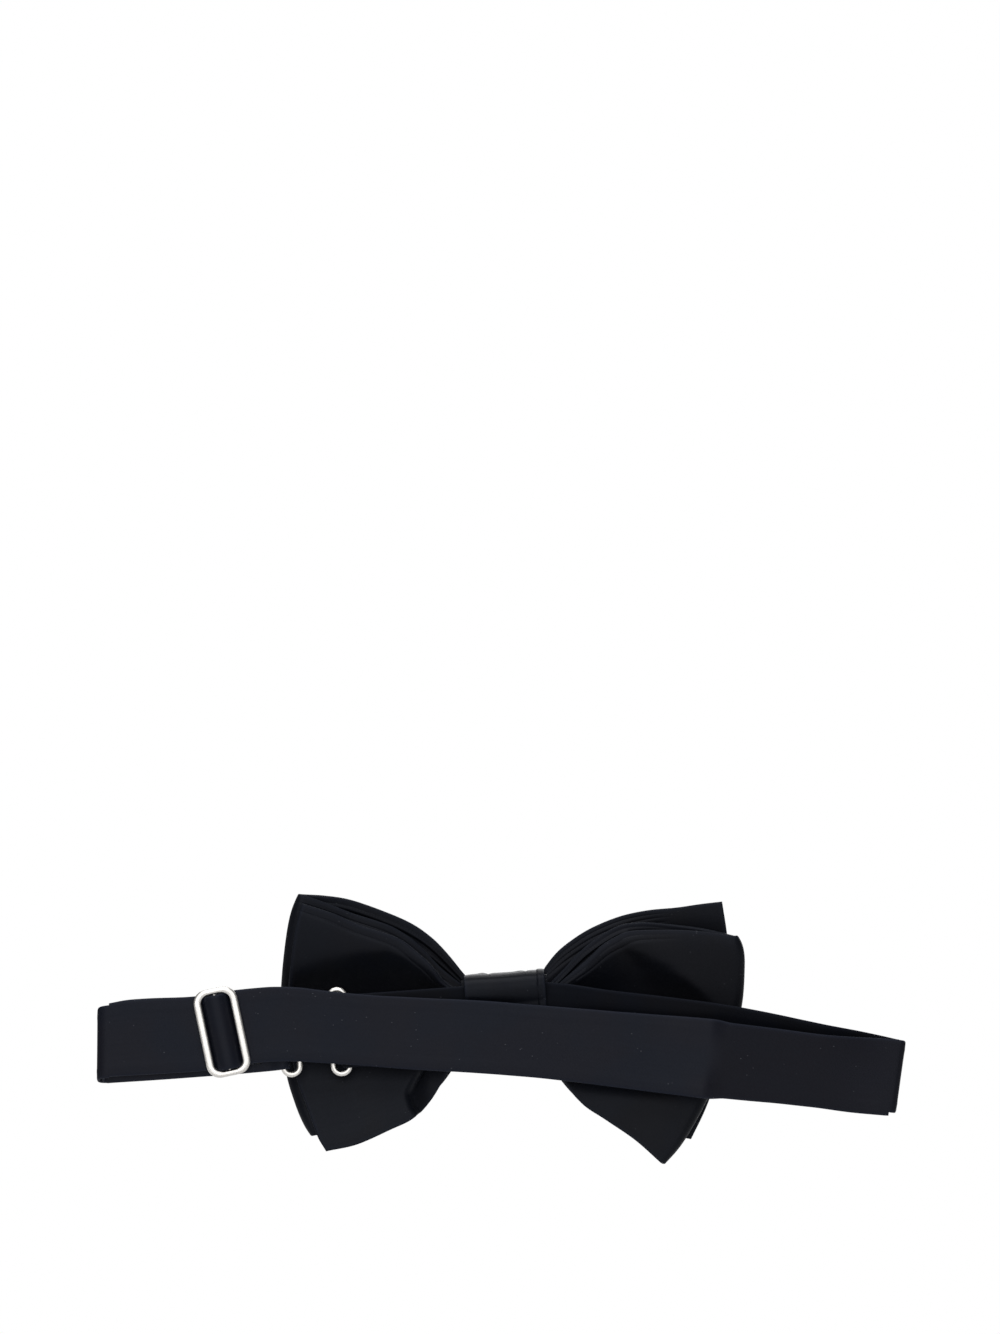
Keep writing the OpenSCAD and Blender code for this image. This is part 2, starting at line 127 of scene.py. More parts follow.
# Where each panel's edges really run, x and z in millimetres: top and bottom edges from the knot
# outwards, and the outer edge from the top corner down
LEFT_TAIL_TOP = [(9.8, 4.6), (12.4, 6), (17.7, 9.7), (21.1, 14.2), (25.2, 17.9), (29.3, 21.1),
                 (34.1, 23), (41, 25.2), (47.8, 28.2), (55.9, 30.8)]
LEFT_TAIL_END = [(55.9, 30.8), (57.1, 26.5), (58.3, 19.7), (59.4, 10.2), (59.8, 0), (58.9, -9),
                 (57.3, -17), (54.0, -25.8), (51.6, -32.4), (49.4, -36.2)]
LEFT_TAIL_BOTTOM = [(9.8, -8.2), (12.6, -10.4), (16.2, -14.6), (20.9, -22.1), (26, -27.3), (32, -30.3),
                    (41.3, -34.4), (49.4, -36.2)]
LEFT_LOOP_TOP = [(9.8, 9.2), (11.7, 11.1), (16.4, 16.8), (20.7, 21.2), (26.2, 25.1), (33.5, 28.4),
                 (42.9, 31.7), (50, 32.9), (56.3, 33.3)]
LEFT_LOOP_NEAR_TOP = [(9.8, 6.8), (11.8, 8.1), (14.4, 9.9), (18.6, 13.4), (22.5, 17.5), (26.6, 21.3),
                      (31.5, 24.3), (35.6, 25.9), (42.5, 28.1), (50, 31), (56.3, 33.2)]
LEFT_LOOP_END = [(56.3, 33.2), (57.3, 28.2), (58.2, 21.4), (59.2, 11.8), (59.6, 3), (59.0, -8),
                 (57.9, -16.2), (55.9, -23), (52.9, -32.0)]
LEFT_LOOP_BOTTOM = [(9.8, -8.6), (13.8, -12.4), (18.2, -18.2), (24.6, -24.5), (34, -28.5), (43, -30.6),
                    (52.9, -32.0)]
RIGHT_TAIL_TOP = [(-9.8, 11.6), (-11.0, 13.7), (-14.7, 18.0), (-20.5, 22.3), (-25.9, 25.1),
                  (-32.2, 27.4), (-39.2, 28.8), (-46.9, 29.5), (-53.4, 30.4), (-58.9, 31.0)]
RIGHT_TAIL_END = [(-58.8, 31.2), (-60.2, 22), (-61.3, 10), (-61.2, 0), (-59.6, -10), (-56.6, -19),
                  (-53.9, -26), (-50.4, -33.2)]
RIGHT_TAIL_BOTTOM = [(-9.8, -10.4), (-12, -13), (-19, -21.5), (-28, -27), (-38, -31), (-50.4, -33.2)]
RIGHT_LOOP_TOP = [(-9.8, 7), (-12, 8.9), (-15, 12), (-21.6, 18.9), (-29.9, 24.4), (-36.7, 25.7),
                  (-44.7, 25.2), (-54, 24), (-62.4, 22)]
RIGHT_LOOP_NEAR_TOP = [(-9.8, 5.2), (-12, 6.6), (-15.6, 10), (-21.8, 15.2), (-26, 19.3), (-30, 21.8),
                       (-34.3, 23.4), (-44.7, 23.6), (-54, 23), (-62.4, 21.6)]
RIGHT_LOOP_END = [(-62.4, 21.8), (-62.7, 14.2), (-61.8, 2.5), (-58, -10), (-52.8, -21.7), (-46.5, -33.6),
                  (-42.5, -39.5)]
RIGHT_LOOP_BOTTOM = [(-9.8, -8.8), (-12, -11.2), (-15.6, -17), (-21, -23.4), (-27.6, -27.9),
                     (-35.5, -33.4), (-42.5, -39.7)]
# The outer run's edges, x and z
RUN_TOP = [(-106, -5.6), (-88.5, -4.25), (-57, -0.2), (-36.4, 1.4), (-9, 3.6), (7.4, 4.9), (21, 5.5),
           (40.8, 6.7), (50, 7.6), (56.7, 8.5), (62, 8.75), (66, 8.6), (74, 7.8), (79, 6.9), (85.5, 6),
           (97, 5.55), (104, 5.1), (109.4, 4.1)]
RUN_BOTTOM = [(-105.5, -26.8), (-90, -25.5), (-74.8, -23.9), (-52.9, -21.8), (-14.8, -17), (7.4, -15.1),
              (24.7, -14.1), (56.7, -11.9), (70.4, -12.4), (82.7, -14.4), (109.4, -16.1)]


# ---------------------------------------------------------------- shapes

def unit(v):
    """Vectors brought to length one along the last axis."""
    return v / np.maximum(np.linalg.norm(v, axis=-1, keepdims=True), 1e-12)


def step(x, low, high):
    """0 below low, 1 above high, and 3t^2 - 2t^3 between them."""
    t = np.clip((x - low) / (high - low), 0, 1)
    return t * t * (3 - 2 * t)


def hump(x, middle_x, width):
    """A bell: e to the minus square of the distance from its middle over its width."""
    return np.exp(-((x - middle_x) / width) ** 2)


def ripple(a, b, seed, waves=5):
    """Slow unevenness between about -1 and 1: the mean of a few sines of a and b, whose
    directions, lengths and starts come from a seeded list."""
    r = np.random.default_rng(seed)
    total = 0
    for k in range(waves):
        fa, fb, start = r.uniform(-1, 1), r.uniform(-1, 1), r.uniform(0, 2 * pi)
        total = total + np.sin((fa * a + fb * b) * (1 + 0.6 * k) + start)
    return total / waves * 1.6


def smooth_line(points, gap):
    """A Catmull-Rom curve through the points, sampled every gap millimetres along its length."""
    p = np.array(points, float)
    before = np.vstack([2 * p[0] - p[1], p[:-1]])
    after = np.vstack([p[1:], 2 * p[-1] - p[-2]])
    m = (after - before) / 2
    t = np.linspace(0, 1, 25)[:-1, None, None]
    a, b, ma, mb = p[:-1], p[1:], m[:-1], m[1:]
    c = ((2 * t**3 - 3 * t**2 + 1) * a + (t**3 - 2 * t**2 + t) * ma + (3 * t**2 - 2 * t**3) * b
         + (t**3 - t**2) * mb)
    c = np.vstack([c.transpose(1, 0, 2).reshape(-1, p.shape[1]), p[-1:]])
    far = np.concatenate([[0], np.cumsum(np.linalg.norm(np.diff(c, axis=0), axis=1))])
    at = np.linspace(0, far[-1], int(round(far[-1] / gap)) + 1)
    return np.stack([np.interp(at, far, c[:, k]) for k in range(p.shape[1])], axis=1)


def turned(points, degrees, place=(0, 0, 0)):
    """Points turned about the y axis by that angle, then moved to place."""
    a = np.radians(degrees)
    p = np.asarray(points, float)
    x, y, z = p[..., 0], p[..., 1], p[..., 2]
    return np.stack([x * np.cos(a) + z * np.sin(a), y, -x * np.sin(a) + z * np.cos(a)], -1) + np.array(place)


def lean_axis(degrees):
    """The upward direction of something that leans by that angle about the y axis."""
    a = np.radians(degrees)
    return np.array([np.sin(a), 0, np.cos(a)])


def grid_quads(n, m, first=0, closed_n=False, closed_m=False):
    """Corner numbers of the quads of an n by m grid of points, closed on itself where asked."""
    i = np.arange(n if closed_n else n - 1)[:, None]
    j = np.arange(m if closed_m else m - 1)[None, :]
    k, l = (i + 1) % n, (j + 1) % m
    q = np.stack(np.broadcast_arrays(i * m + j, k * m + j, k * m + l, i * m + l), -1)
    return q.reshape(-1, 4) + first


def lengths(p, axis):
    """Distance walked along one axis of a grid of points, taken along its middle row."""
    q = np.moveaxis(p, axis, 0)
    q = q[:, q.shape[1] // 2]
    return np.concatenate([[0], np.cumsum(np.linalg.norm(np.diff(q, axis=0), axis=1))])


class Build:
    """Vertices, quads, cloth coordinates and edge marks of one piece, gathered in millimetres; the edge marks
    carry the silk's painted highlight on the edges.
    """

    def __init__(self):
        self.points, self.quads, self.cloth, self.rim, self.count = [], [], [], [], 0

    def add(self, points, quads, cloth=None, rim=0.0):
        """Takes a block of points and the quads between them, numbered from the block's start."""
        p = np.asarray(points, float).reshape(-1, 3)
        c = p[:, [0, 2]] if cloth is None else np.asarray(cloth, float).reshape(-1, 2)
        self.points.append(p)
        self.cloth.append(c)
        self.rim.append(np.broadcast_to(np.asarray(rim, float).reshape(-1), (len(p),)) if np.ndim(rim) == 0
                        else np.asarray(rim, float).reshape(-1))
        self.quads.append(np.asarray(quads) + self.count)
        self.count += len(p)

    def finish(self, name, material, body, crisp=50):
        """The Blender object: points merged where they meet, faces turned outwards and shaded
        smooth, riding on its body."""
        p = np.concatenate(self.points) * MM
        q = np.concatenate(self.quads)
        mesh = bpy.data.meshes.new(name)
        mesh.vertices.add(len(p))
        mesh.vertices.foreach_set("co", p.ravel())
        corner = q != np.roll(q, 1, axis=1)
        loop = q[corner].astype(np.int32)
        mesh.loops.add(len(loop))
        mesh.loops.foreach_set("vertex_index", loop)
        mesh.polygons.add(len(q))
        start = np.concatenate([[0], np.cumsum(corner.sum(axis=1))[:-1]]).astype(np.int32)
        mesh.polygons.foreach_set("loop_start", start)
        mesh.update(calc_edges=True)
        cloth = np.concatenate(self.cloth)[loop] * MM
        mesh.uv_layers.new(name="cloth").data.foreach_set("uv", cloth.ravel())
        # rim: nearness to a sewn edge, which the silk uses for a painted highlight on the edges and a little more
        # roughness
        rim = mesh.attributes.new("rim", "FLOAT", "POINT")
        rim.data.foreach_set("value", np.concatenate(self.rim).astype(np.float32))
        work = bmesh.new()
        work.from_mesh(mesh)
        bmesh.ops.remove_doubles(work, verts=work.verts, dist=1e-7)
        bmesh.ops.recalc_face_normals(work, faces=work.faces)
        work.to_mesh(mesh)
        work.free()
        mesh.polygons.foreach_set("use_smooth", np.ones(len(mesh.polygons), bool))
        mesh.set_sharp_from_angle(angle=np.radians(crisp))
        piece = bpy.data.objects.new(name, mesh)
        bpy.context.scene.collection.objects.link(piece)
        mesh.materials.append(material)
        if body:
            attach(piece, body)
        return piece


# Section of a sewn edge, from the front ply's face to the back ply's: two rolled lips and the
# groove of the seam between them, as outward and through shares of half the cloth's thickness
LIPS = np.array([(0, 1), (0.32, 0.94), (0.52, 0.76), (0.55, 0.5), (0.4, 0.26), (0.02, 0.1), (-0.35, 0.0),
                 (0.02, -0.1), (0.4, -0.26), (0.55, -0.5), (0.52, -0.76), (0.32, -0.94), (0, -1)])
ROLL = np.array([(0, 1), (0.4, 0.92), (0.72, 0.7), (0.92, 0.4), (1, 0), (0.92, -0.4), (0.72, -0.7),
                 (0.4, -0.92), (0, -1)])


def cloth_between(build, p, half, closed=False, lips=LIPS):
    """A cloth of even thickness about a middle surface p: the surface moved by half its thickness
    to each side along its normals, and its border closed by the section of a sewn edge, which is
    carried round it outwards and through."""
    n, m = p.shape[:2]
    if closed:
        along = unit(np.roll(p, -1, 0) - np.roll(p, 1, 0))
    else:
        along = unit(np.gradient(p, axis=0))
    across = unit(np.gradient(p, axis=1))
    normal = unit(np.cross(along, across))
    u = np.concatenate([[0], np.cumsum(np.linalg.norm(np.diff(p[:, m // 2], axis=0), axis=1))])
    v = lengths(p, 1)
    cloth = np.stack(np.broadcast_arrays(u[:, None], v[None, :]), -1)
    gap = np.minimum(v, v[-1] - v)[None, :] + 0 * u[:, None]
    if not closed:
        gap = np.minimum(gap, np.minimum(u, u[-1] - u)[:, None])
    # nearness to the border, which the silk uses for its painted highlight on the edges
    rim = np.exp(-gap / 0.9)
    first = build.count
    block = np.concatenate([(p + half * normal).reshape(-1, 3), (p - half * normal).reshape(-1, 3)])
    quads = np.concatenate([grid_quads(n, m, 0, closed), grid_quads(n, m, n * m, closed)[:, ::-1]])
    build.add(block, quads, np.concatenate([cloth.reshape(-1, 2)] * 2), np.concatenate([rim.ravel()] * 2))
    index = np.arange(n * m).reshape(n, m)
    if closed:
        loops = [(index[:, 0], -across[:, 0]), (index[:, -1], across[:, -1])]
    else:
        border = np.concatenate([index[0], index[1:, -1], index[-1, -2::-1], index[-2:0:-1, 0]])
        out = np.zeros((n, m, 3))
        out[0] -= along[0]
        out[-1] += along[-1]
        out[:, 0] -= across[:, 0]
        out[:, -1] += across[:, -1]
        loops = [(border, out.reshape(-1, 3)[border])]
    flat_p, flat_n, flat_c = p.reshape(-1, 3), normal.reshape(-1, 3), cloth.reshape(-1, 2)
    for border, out in loops:
        rows = (flat_p[border][None] + half * (lips[:, 0, None, None] * out[None]
                + lips[:, 1, None, None] * flat_n[border][None]))
        c = np.broadcast_to(flat_c[border][None], rows.shape[:2] + (2,)) + lips[:, 1, None, None] * 0.2
        build.add(rows, grid_quads(len(lips), len(border), 0, closed_m=True), c, 1.0)
    return first


# Places across a band, close together at its edges, where its silk folds round
HALF_BAND = np.sin(pi / 2 * np.sin(pi / 2 * np.linspace(-1, 1, 41)))


def band_section(thick, pucker=0.05):
    """Half the band's thickness across its width: the root of one minus a high power of the place,
    so that the edges are round, with a low ridge where the seam allowance ends."""
    s = HALF_BAND
    round_off = np.sqrt(np.clip(1 - np.abs(s) ** 26, 0, 1))
    return thick / 2 * round_off * (1 - 0.06 * (1 - s**2)) + pucker * (hump(np.abs(s), 0.74, 0.06)
                                                                         + 0.5 * hump(s, 0.05, 0.03))


def ribbon(build, centre, across, width, thick, wave=0.0, seed=1, pucker=0.05, taper=None):
    """A flat band along a line: at each point of the line, the section's places times half the
    width across it, and its thickness to both sides along the normal, which is the line's
    direction crossed with the across direction. Both ends are closed."""
    c = np.asarray(centre, float)
    a = unit(np.broadcast_to(across, c.shape))
    t = unit(np.gradient(c, axis=0))
    normal = unit(np.cross(t, a))
    far = np.concatenate([[0], np.cumsum(np.linalg.norm(np.diff(c, axis=0), axis=1))])
    s = HALF_BAND
    half = band_section(thick, pucker)[None, :] * np.ones((len(c), 1))
    if taper is not None:
        half = half * taper[:, None]
    bend = wave * ripple(far[:, None] / 9, s[None, :] * 1.3, seed) * (1 - 0.5 * s[None, :] ** 2)
    fray = wave * 0.5 * ripple(far / 7, far * 0, seed + 7)[:, None] * np.abs(s[None, :]) ** 3
    reach = np.broadcast_to(width, (len(c),))[:, None] / 2 * s[None, :]
    base = c[:, None] + a[:, None] * (reach + fray)[..., None]
    front = base + normal[:, None] * (half + bend)[..., None]
    back = base + normal[:, None] * (bend - half)[..., None]
    loop = np.concatenate([front, back[:, -2:0:-1]], axis=1)
    n, k = loop.shape[:2]
    width = float(np.mean(width))
    cloth = np.stack(np.broadcast_arrays(far[:, None], np.concatenate([s, s[-2:0:-1]])[None,
                                                                                       :] * width / 2), -1)
    # nearness to the band's edges, which the silk uses for its painted highlight on the edges
    rim = np.concatenate([np.abs(s), np.abs(s[-2:0:-1])])[None, :] * np.ones((n, 1))
    rim = np.exp(-(1 - rim) * width / 2 / 0.9)
    last = (n - 1) * k
    m = len(s)
    j = np.arange(m - 1)
    mirror = lambda x: np.where((x == 0) | (x == m - 1), x, k - x)
    caps = np.stack([j, j + 1, mirror(j + 1), mirror(j)], -1)
    build.add(loop, np.concatenate([grid_quads(n, k, 0, closed_m=True), caps[:, ::-1], caps + last]),
              cloth, rim)


def rounded_loop(w, h, r, arc=9, side=7):
    """A rectangle with round corners as a closed line of x and z: quarter circles of radius r at
    the corners, and evenly spaced points along the sides between them."""
    a = np.linspace(0, pi / 2, arc)
    corners = []
    for k, (sx, sz) in enumerate([(1, 1), (-1, 1), (-1, -1), (1, -1)]):
        b = a + k * pi / 2
        corners.append(np.stack([sx * (w / 2 - r) + r * np.cos(b), sz * (h / 2 - r) + r * np.sin(b)], -1))
    out = []
    for k in range(4):
        out.append(corners[k])
        start, end = corners[k][-1], corners[(k + 1) % 4][0]
        out.append(start + (end - start) * np.linspace(0, 1, side + 2)[1:-1, None])
    return np.concatenate(out)


def metal_frame(outer, inner, thick, soft=0.55):
    """A bar between two closed outlines: its section is a square with round corners, the cosine
    and sine of an angle each raised to the power soft, carried round the frame."""
    a = np.linspace(0, 2 * pi, 20, endpoint=False)
    ca, sa = np.cos(a), np.sin(a)
    ca, sa = np.sign(ca) * np.abs(ca) ** soft, np.sign(sa) * np.abs(sa) ** soft
    mid, reach = (outer + inner) / 2, (outer - inner) / 2
    flat = mid[:, None] + reach[:, None] * ca[None, :, None]
    p = np.stack([flat[..., 0], np.broadcast_to(sa[None, :] * thick / 2, flat.shape[:2]), flat[..., 1]], -1)
    return p, grid_quads(len(outer), len(a), 0, True, True)


def rod(start, end, radius, sides=14, rings=9):
    """A straight bar with rounded ends: circles whose radius is the root of one minus a high power
    of the place along it."""
    s = np.sin(pi / 2 * np.linspace(-1, 1, rings))
    start, end = np.array(start, float), np.array(end, float)
    axis = unit(end - start)
    side = unit(np.cross(axis, [0.3, 0.9, 0.1]))
    other = np.cross(axis, side)
    a = np.linspace(0, 2 * pi, sides, endpoint=False)
    r = radius * np.sqrt(np.clip(1 - np.abs(s) ** 10, 0, 1))
    ring = np.cos(a)[:, None] * side + np.sin(a)[:, None] * other
    p = ((start + end) / 2 + (end - start) / 2 * s[:, None])[:, None] + r[:, None, None] * ring[None]
    return p, grid_quads(rings, sides, 0, closed_m=True)


def stitches(build, centres, direction, length, radius):
    """Hand stitches: short threads that dip into the silk at both ends, each a bowed line with
    round sections that thin to a point."""
    s = np.linspace(-1, 1, 9)
    a = np.linspace(0, 2 * pi, 7, endpoint=False)
    d = unit(np.array(direction, float))
    side = unit(np.cross(d, [0, 1, 0]))
    line = s[:, None] * d * length / 2 + (1 - s**2)[:, None] * np.array([0, radius * 0.9, 0])
    r = radius * np.sqrt(np.clip(1 - s**4, 0, 1))
    ring = np.cos(a)[:, None] * side + np.sin(a)[:, None] * np.array([0, 1.0, 0])
    one = line[:, None] + r[:, None, None] * ring[None]
    quads = grid_quads(len(s), len(a), 0, closed_m=True)
    for k, centre in enumerate(centres):
        wander = np.array([0.12 * np.sin(3.1 * k), 0, 0.1 * np.cos(2.3 * k)])
        build.add(one + np.array(centre) + wander, quads, rim=0.0)


# ---------------------------------------------------------------- wings

def along_edge(e, u):
    """Quadratic curve: (1-u)^2 times the first point, 2u(1-u) the second and u^2 the third."""
    u = np.asarray(u, float)[..., None]
    return (1 - u) ** 2 * e[0] + 2 * u * (1 - u) * e[1] + u**2 * e[2]


def panel(p, u, v, size):
    """A panel's surface: the top edge, crease and bottom edge at u, joined across by the parabola
    that takes them at v = 1, 0 and -1. Its depth goes from the edges' to the crease's with
    1 - v^2 raised to a power, so that the cloth is flat along its edges."""
    u, v = np.broadcast_arrays(np.asarray(u, float), np.asarray(v, float))
    w = v[..., None]
    q = (along_edge(p[0], u) * w * (w + 1) / 2 + along_edge(p[1], u) * (1 - w**2)
         + along_edge(p[2], u) * w * (w - 1) / 2)
    top, low = along_edge(p[0], u)[..., 1], along_edge(p[2], u)[..., 1]
    rim = top * (1 + v) / 2 + low * (1 - v) / 2
    q[..., 1] = rim + (along_edge(p[1], u)[..., 1] - (top + low) / 2) * (1 - v**2) ** 1.7
    return q * np.array([size[0] / 2, 1, size[1] / 2])


def rounded_path(points):
    """A line through the points with its bends smoothed, sampled evenly, as a function of the
    share of its length."""
    line = smooth_line(points, 0.4)
    share = np.linspace(0, 1, len(line))
    return lambda t: np.stack([np.interp(t, share, line[:, 0]), np.interp(t, share, line[:, 1])], -1)


def fitted(q, u, v, top, bottom, end):
    """A panel drawn to its true outline: each border is moved onto its own line, and the inside
    follows with a weight that fades away from that border."""
    flat = q[..., [0, 2]]

    first = v[0, 0] > 0
    up, down = (0, -1) if first else (-1, 0)
    out = -1 if u[-1, 0] > u[0, 0] else 0
    order = slice(None) if out == -1 else slice(None, None, -1)

    def along_u(flat, line, column, weight):
        border = flat[order, column]
        far = np.concatenate([[0], np.cumsum(np.linalg.norm(np.diff(border, axis=0), axis=1))])
        move = rounded_path(line)(far / far[-1]) - border
        return flat + weight[..., None] * move[order][:, None]

    def along_v(flat, line, row, weight):
        border = flat[row]
        far = np.concatenate([[0], np.cumsum(np.linalg.norm(np.diff(border, axis=0), axis=1))])
        move = rounded_path(line)(far / far[-1]) - border
        return flat + weight[..., None] * move[None]

    flat = along_u(flat, top, up, np.clip(v, 0, 1) ** 1.6)
    flat = along_u(flat, bottom, down, np.clip(-v, 0, 1) ** 1.6)
    flat = along_v(flat, end, out, np.clip(u, 0, 1) ** 3)
    inner = 1 - np.abs(v) ** 1.6
    flat[..., 0] -= np.sign(flat[..., 0]) * 2.2 * inner * np.clip(1 - u, 0, 1) ** 8
    return np.stack([flat[..., 0], q[..., 1], flat[..., 1]], -1)


def rows(m, lines):
    """Places across a panel, from 1 down to -1: crowded a little at both borders, and closely on
    both sides of each pleat line."""
    even = 1 - 2 * spread(m, 0.5)
    for at_knot, _ in lines:
        even = even[(np.abs(even - at_knot) > 0.036) | (np.abs(even) == 1)]
    near = np.array([-0.03, -0.018, -0.011, -0.006, -0.003, 0, 0.003, 0.006, 0.011, 0.018, 0.03])
    return np.unique(np.clip(np.concatenate([even] + [a + near for a, _ in lines]), -1, 1))[::-1]


def follow(u, s, lines):
    """The share of the panel's height that a row reaches at u: a row on a pleat line goes from the
    line's share at the knot to its share at the end with the root of u, and the rows between two
    lines move in proportion."""
    ends = dict(lines)
    at = np.array([-1.0] + sorted(ends) + [1.0])
    shift = np.array([0.0] + [ends[a] - a for a in sorted(ends)] + [0.0])
    return s + np.interp(s, at, shift) * np.sqrt(np.clip(u, 0, 1))


def knife_pleats(u, s, lines, depth, reach):
    """Flat folds that run out from the knot: at each line the cloth steps back by depth and dips
    in a narrow groove, and both fade out between half the reach and the reach."""
    total = 0 * u * s
    for at_knot, _ in lines:
        off = np.sign(at_knot) * (s - at_knot)
        shape = 0.5 * step(off, -0.008, 0.016) + hump(off, 0.001, 0.012)
        total = total - depth * (1 - step(u, 0.6 * reach, reach)) * shape
    return total


def gathers(u, v, count, depth, seed):
    """Soft folds close to the knot: a sine across the panel, deepest at the knot, gone at half its
    length, and uneven from fold to fold."""
    fade = np.clip(1 - u / 0.55, 0, 1) ** 1.6
    folds = np.sin(pi * count * v + 1.4 * ripple(u * 3, v * 3, seed))
    return depth * fade * folds * (0.7 + 0.3 * ripple(v * 4, u, seed + 1))


def calm(v, facing):
    """How much of the soft folds is left: little in the upper part of a layer that faces back."""
    return 1 - 0.8 * step(v, -0.2, 0.3) * (facing > 0)


def sunk(p, amount):
    """The surface moved towards the bow's front by the amount."""
    return p - amount[..., None] * np.array([0, 1.0, 0])


def spread(n, close=0.0):
    """Even places from 0 to 1, crowded a little at both ends."""
    t = np.linspace(0, 1, n)
    return t - close * np.sin(4 * pi * t) / (4 * pi) - close * 0.5 * np.sin(2 * pi * t) / (2 * pi)


def ramp(x, soft):
    """0 well below zero and x well above it, with a bend as wide as soft between them."""
    return soft * np.logaddexp(0, x / soft)


def left_hollow(p, share):
    """The left wing's hollow above the band, which drops away below a line under the top edge, and
    the slope beside the fold below the band, which drops away towards the knot."""
    x, z = p[..., 0], p[..., 2]
    brow = np.interp(x, [12, 16, 20, 26, 32.7, 40, 50, 57], [4.5, 8.6, 12.4, 16.6, 19, 18.2, 15, 12])
    hollow = 0.78 * ramp(brow - z, 0.35 + 0.9 * step(x, 30, 48)) * (1 - 0.25 * step(x, 44, 60))
    hollow = 6.4 * np.tanh(hollow / 6.4) * step(z, -9, 3) * (1 - 0.7 * step(x, 56, 61))
    ledge = np.interp(-z, [11, 14.8, 17.8, 21.1, 24.9, 26.6, 30], [24, 24.6, 26.6, 28.8, 27.1, 25.6, 22])
    slope = np.clip(1.6 + 1.15 * (26.8 - x), 0.1, None) * step(ledge - x, 0, 1.6) * step(-z, 8, 12)
    return (hollow + 5.6 * np.tanh(slope / 5.6)) * share


def right_hollow(p, share):
    """The right wing's hollow: it drops away below the top edge and on the knot's side of a
    bent crease, by the lesser of the two, down to a floor."""
    x, z = p[..., 0], p[..., 2]
    edge_line = np.array(RIGHT_LOOP_NEAR_TOP, float)
    below = np.interp(-x, -edge_line[:, 0], edge_line[:, 1]) - z
    beside = x - np.interp(z, [-4, 0, 4.9, 9.6, 14, 17.3, 20, 22], [-64, -60.2, -55.6, -50.6, -45.2,
                                                                    -38.6, -31, -24])
    a, b = 0.55 * ramp(below - 1.4, 0.4), 0.52 * ramp(beside, 0.5 + 2.2 * step(z, 8, 19))
    slope = (a + b - np.sqrt((a - b) ** 2 + 0.25)) / 2
    drop = 5.6 * np.tanh(np.clip(slope, 0, None) / 5.6) * step(z, -24, -4) * step(-x, 11, 20)
    return drop * share


def tail_surface(p, size, outline, hollow, share, lines, facing, reach, seed, n=96, m=116):
    """A tail's middle surface: the panel with its hollow, its flat pleats, its soft gathers at the
    knot and a slow unevenness."""
    u, s = np.broadcast_arrays(spread(n)[:, None], rows(m, lines)[None, :])
    v = follow(u, s, lines)
    q = fitted(panel(p, u, v, size), u, v, *outline)
    q = sunk(q, hollow(q, share))
    lift = facing * knife_pleats(u, s, lines, 0.55, reach) + gathers(u, v, 3.5, 0.5, seed) * calm(v, facing)
    lift = lift + 0.16 * ripple(q[..., 0] / 7, q[..., 2] / 7, seed + 2)
    return q + lift[..., None] * np.array([0, 1.0, 0])


def loop_surface(p, size, side, outlines, hollow, shares, lines, reach, seed, n=84, m=104, bend=13):
    """A loop's middle surface: a far layer and a near layer of the same panel, held apart by a gap
    that opens away from the knot, with a half circle between them at the outer edge."""
    places = rows(m, lines)[None, :]

    def layer(u, toward, share, outline, key):
        uu, ss = np.broadcast_arrays(u[:, None], places)
        vv = follow(uu, ss, lines)
        q = fitted(panel(p, uu, vv, size), uu, vv, *outline)
        gap = LOOP_R * (0.76 + 0.24 * uu) + 1.3 * np.sin(pi * uu) * (1 - 0.6 * vv**2)
        gap = gap * (1 - 0.4 * uu**4 * vv**8)
        q = q + (toward * gap)[..., None] * np.array([0, 1.0, 0])
        fade = 1 - step(uu, 0.8, 1.0)
        q = sunk(q, hollow(q, share) * (1 - 0.65 * step(uu, 0.75, 1.0)))
        lift = toward * knife_pleats(uu, ss, lines, 0.55, reach) + gathers(uu, vv, 3.2, 0.45,
                                                                           key) * calm(vv, toward)
        lift = lift + 0.14 * fade * ripple(q[..., 0] / 8, q[..., 2] / 8, key + 3)
        return q + (lift * np.clip(fade + 0.3, 0, 1))[..., None] * np.array([0, 1.0, 0])

    u = spread(n)
    far = layer(u, -1, shares[0], outlines[0], seed)
    near = layer(u[::-1], 1, shares[1], outlines[1], seed + 5)
    start, end = far[-1], near[0]
    a = np.linspace(-pi / 2, pi / 2, bend)[1:-1, None, None]
    mid, reach = (start + end) / 2, (end - start) / 2
    tight = 1 - 0.75 * follow(1.0, places[0], lines) ** 8
    out = np.array([side, 0, 0]) * LOOP_R * tight[:, None]
    turn = mid[None] + np.cos(a) * out[None] + np.sin(a) * reach[None]
    return np.concatenate([far, turn, near])


# ---------------------------------------------------------------- band lines

def flat_line(route, y, ends=(0, 0), gap=1.2, leans=(None, None), roll=None):
    """A route as a line of points at level y, and its across direction: at right angles to it in
    the x-z plane, brought to a fold's lean within 9 mm of that end, and rolled about the line."""
    r = smooth_line(route, 0.2)
    far = np.concatenate([[0], np.cumsum(np.linalg.norm(np.diff(r, axis=0), axis=1))])
    at = np.linspace(ends[0], far[-1] - ends[1], int(far[-1] / gap))
    r, far = np.stack([np.interp(at, far, r[:, 0]), np.interp(at, far, r[:, 1])], -1), at
    d = unit(np.gradient(r, axis=0))
    across = np.stack([-d[:, 1], 0 * d[:, 0], d[:, 0]], -1)
    for lean, gone in ((leans[0], far - far[0]), (leans[1], far[-1] - far)):
        if lean is not None:
            w = (1 - step(gone, 0, 9))[:, None]
            across = unit(across * (1 - w) + lean_axis(lean) * w)
    c = np.stack([r[:, 0], np.full(len(r), float(y)), r[:, 1]], -1)
    if roll is not None:
        a = np.radians(roll(r[:, 0]))[:, None]
        across = across * np.cos(a) + np.array([0, 1.0, 0]) * np.sin(a)
    return c, across


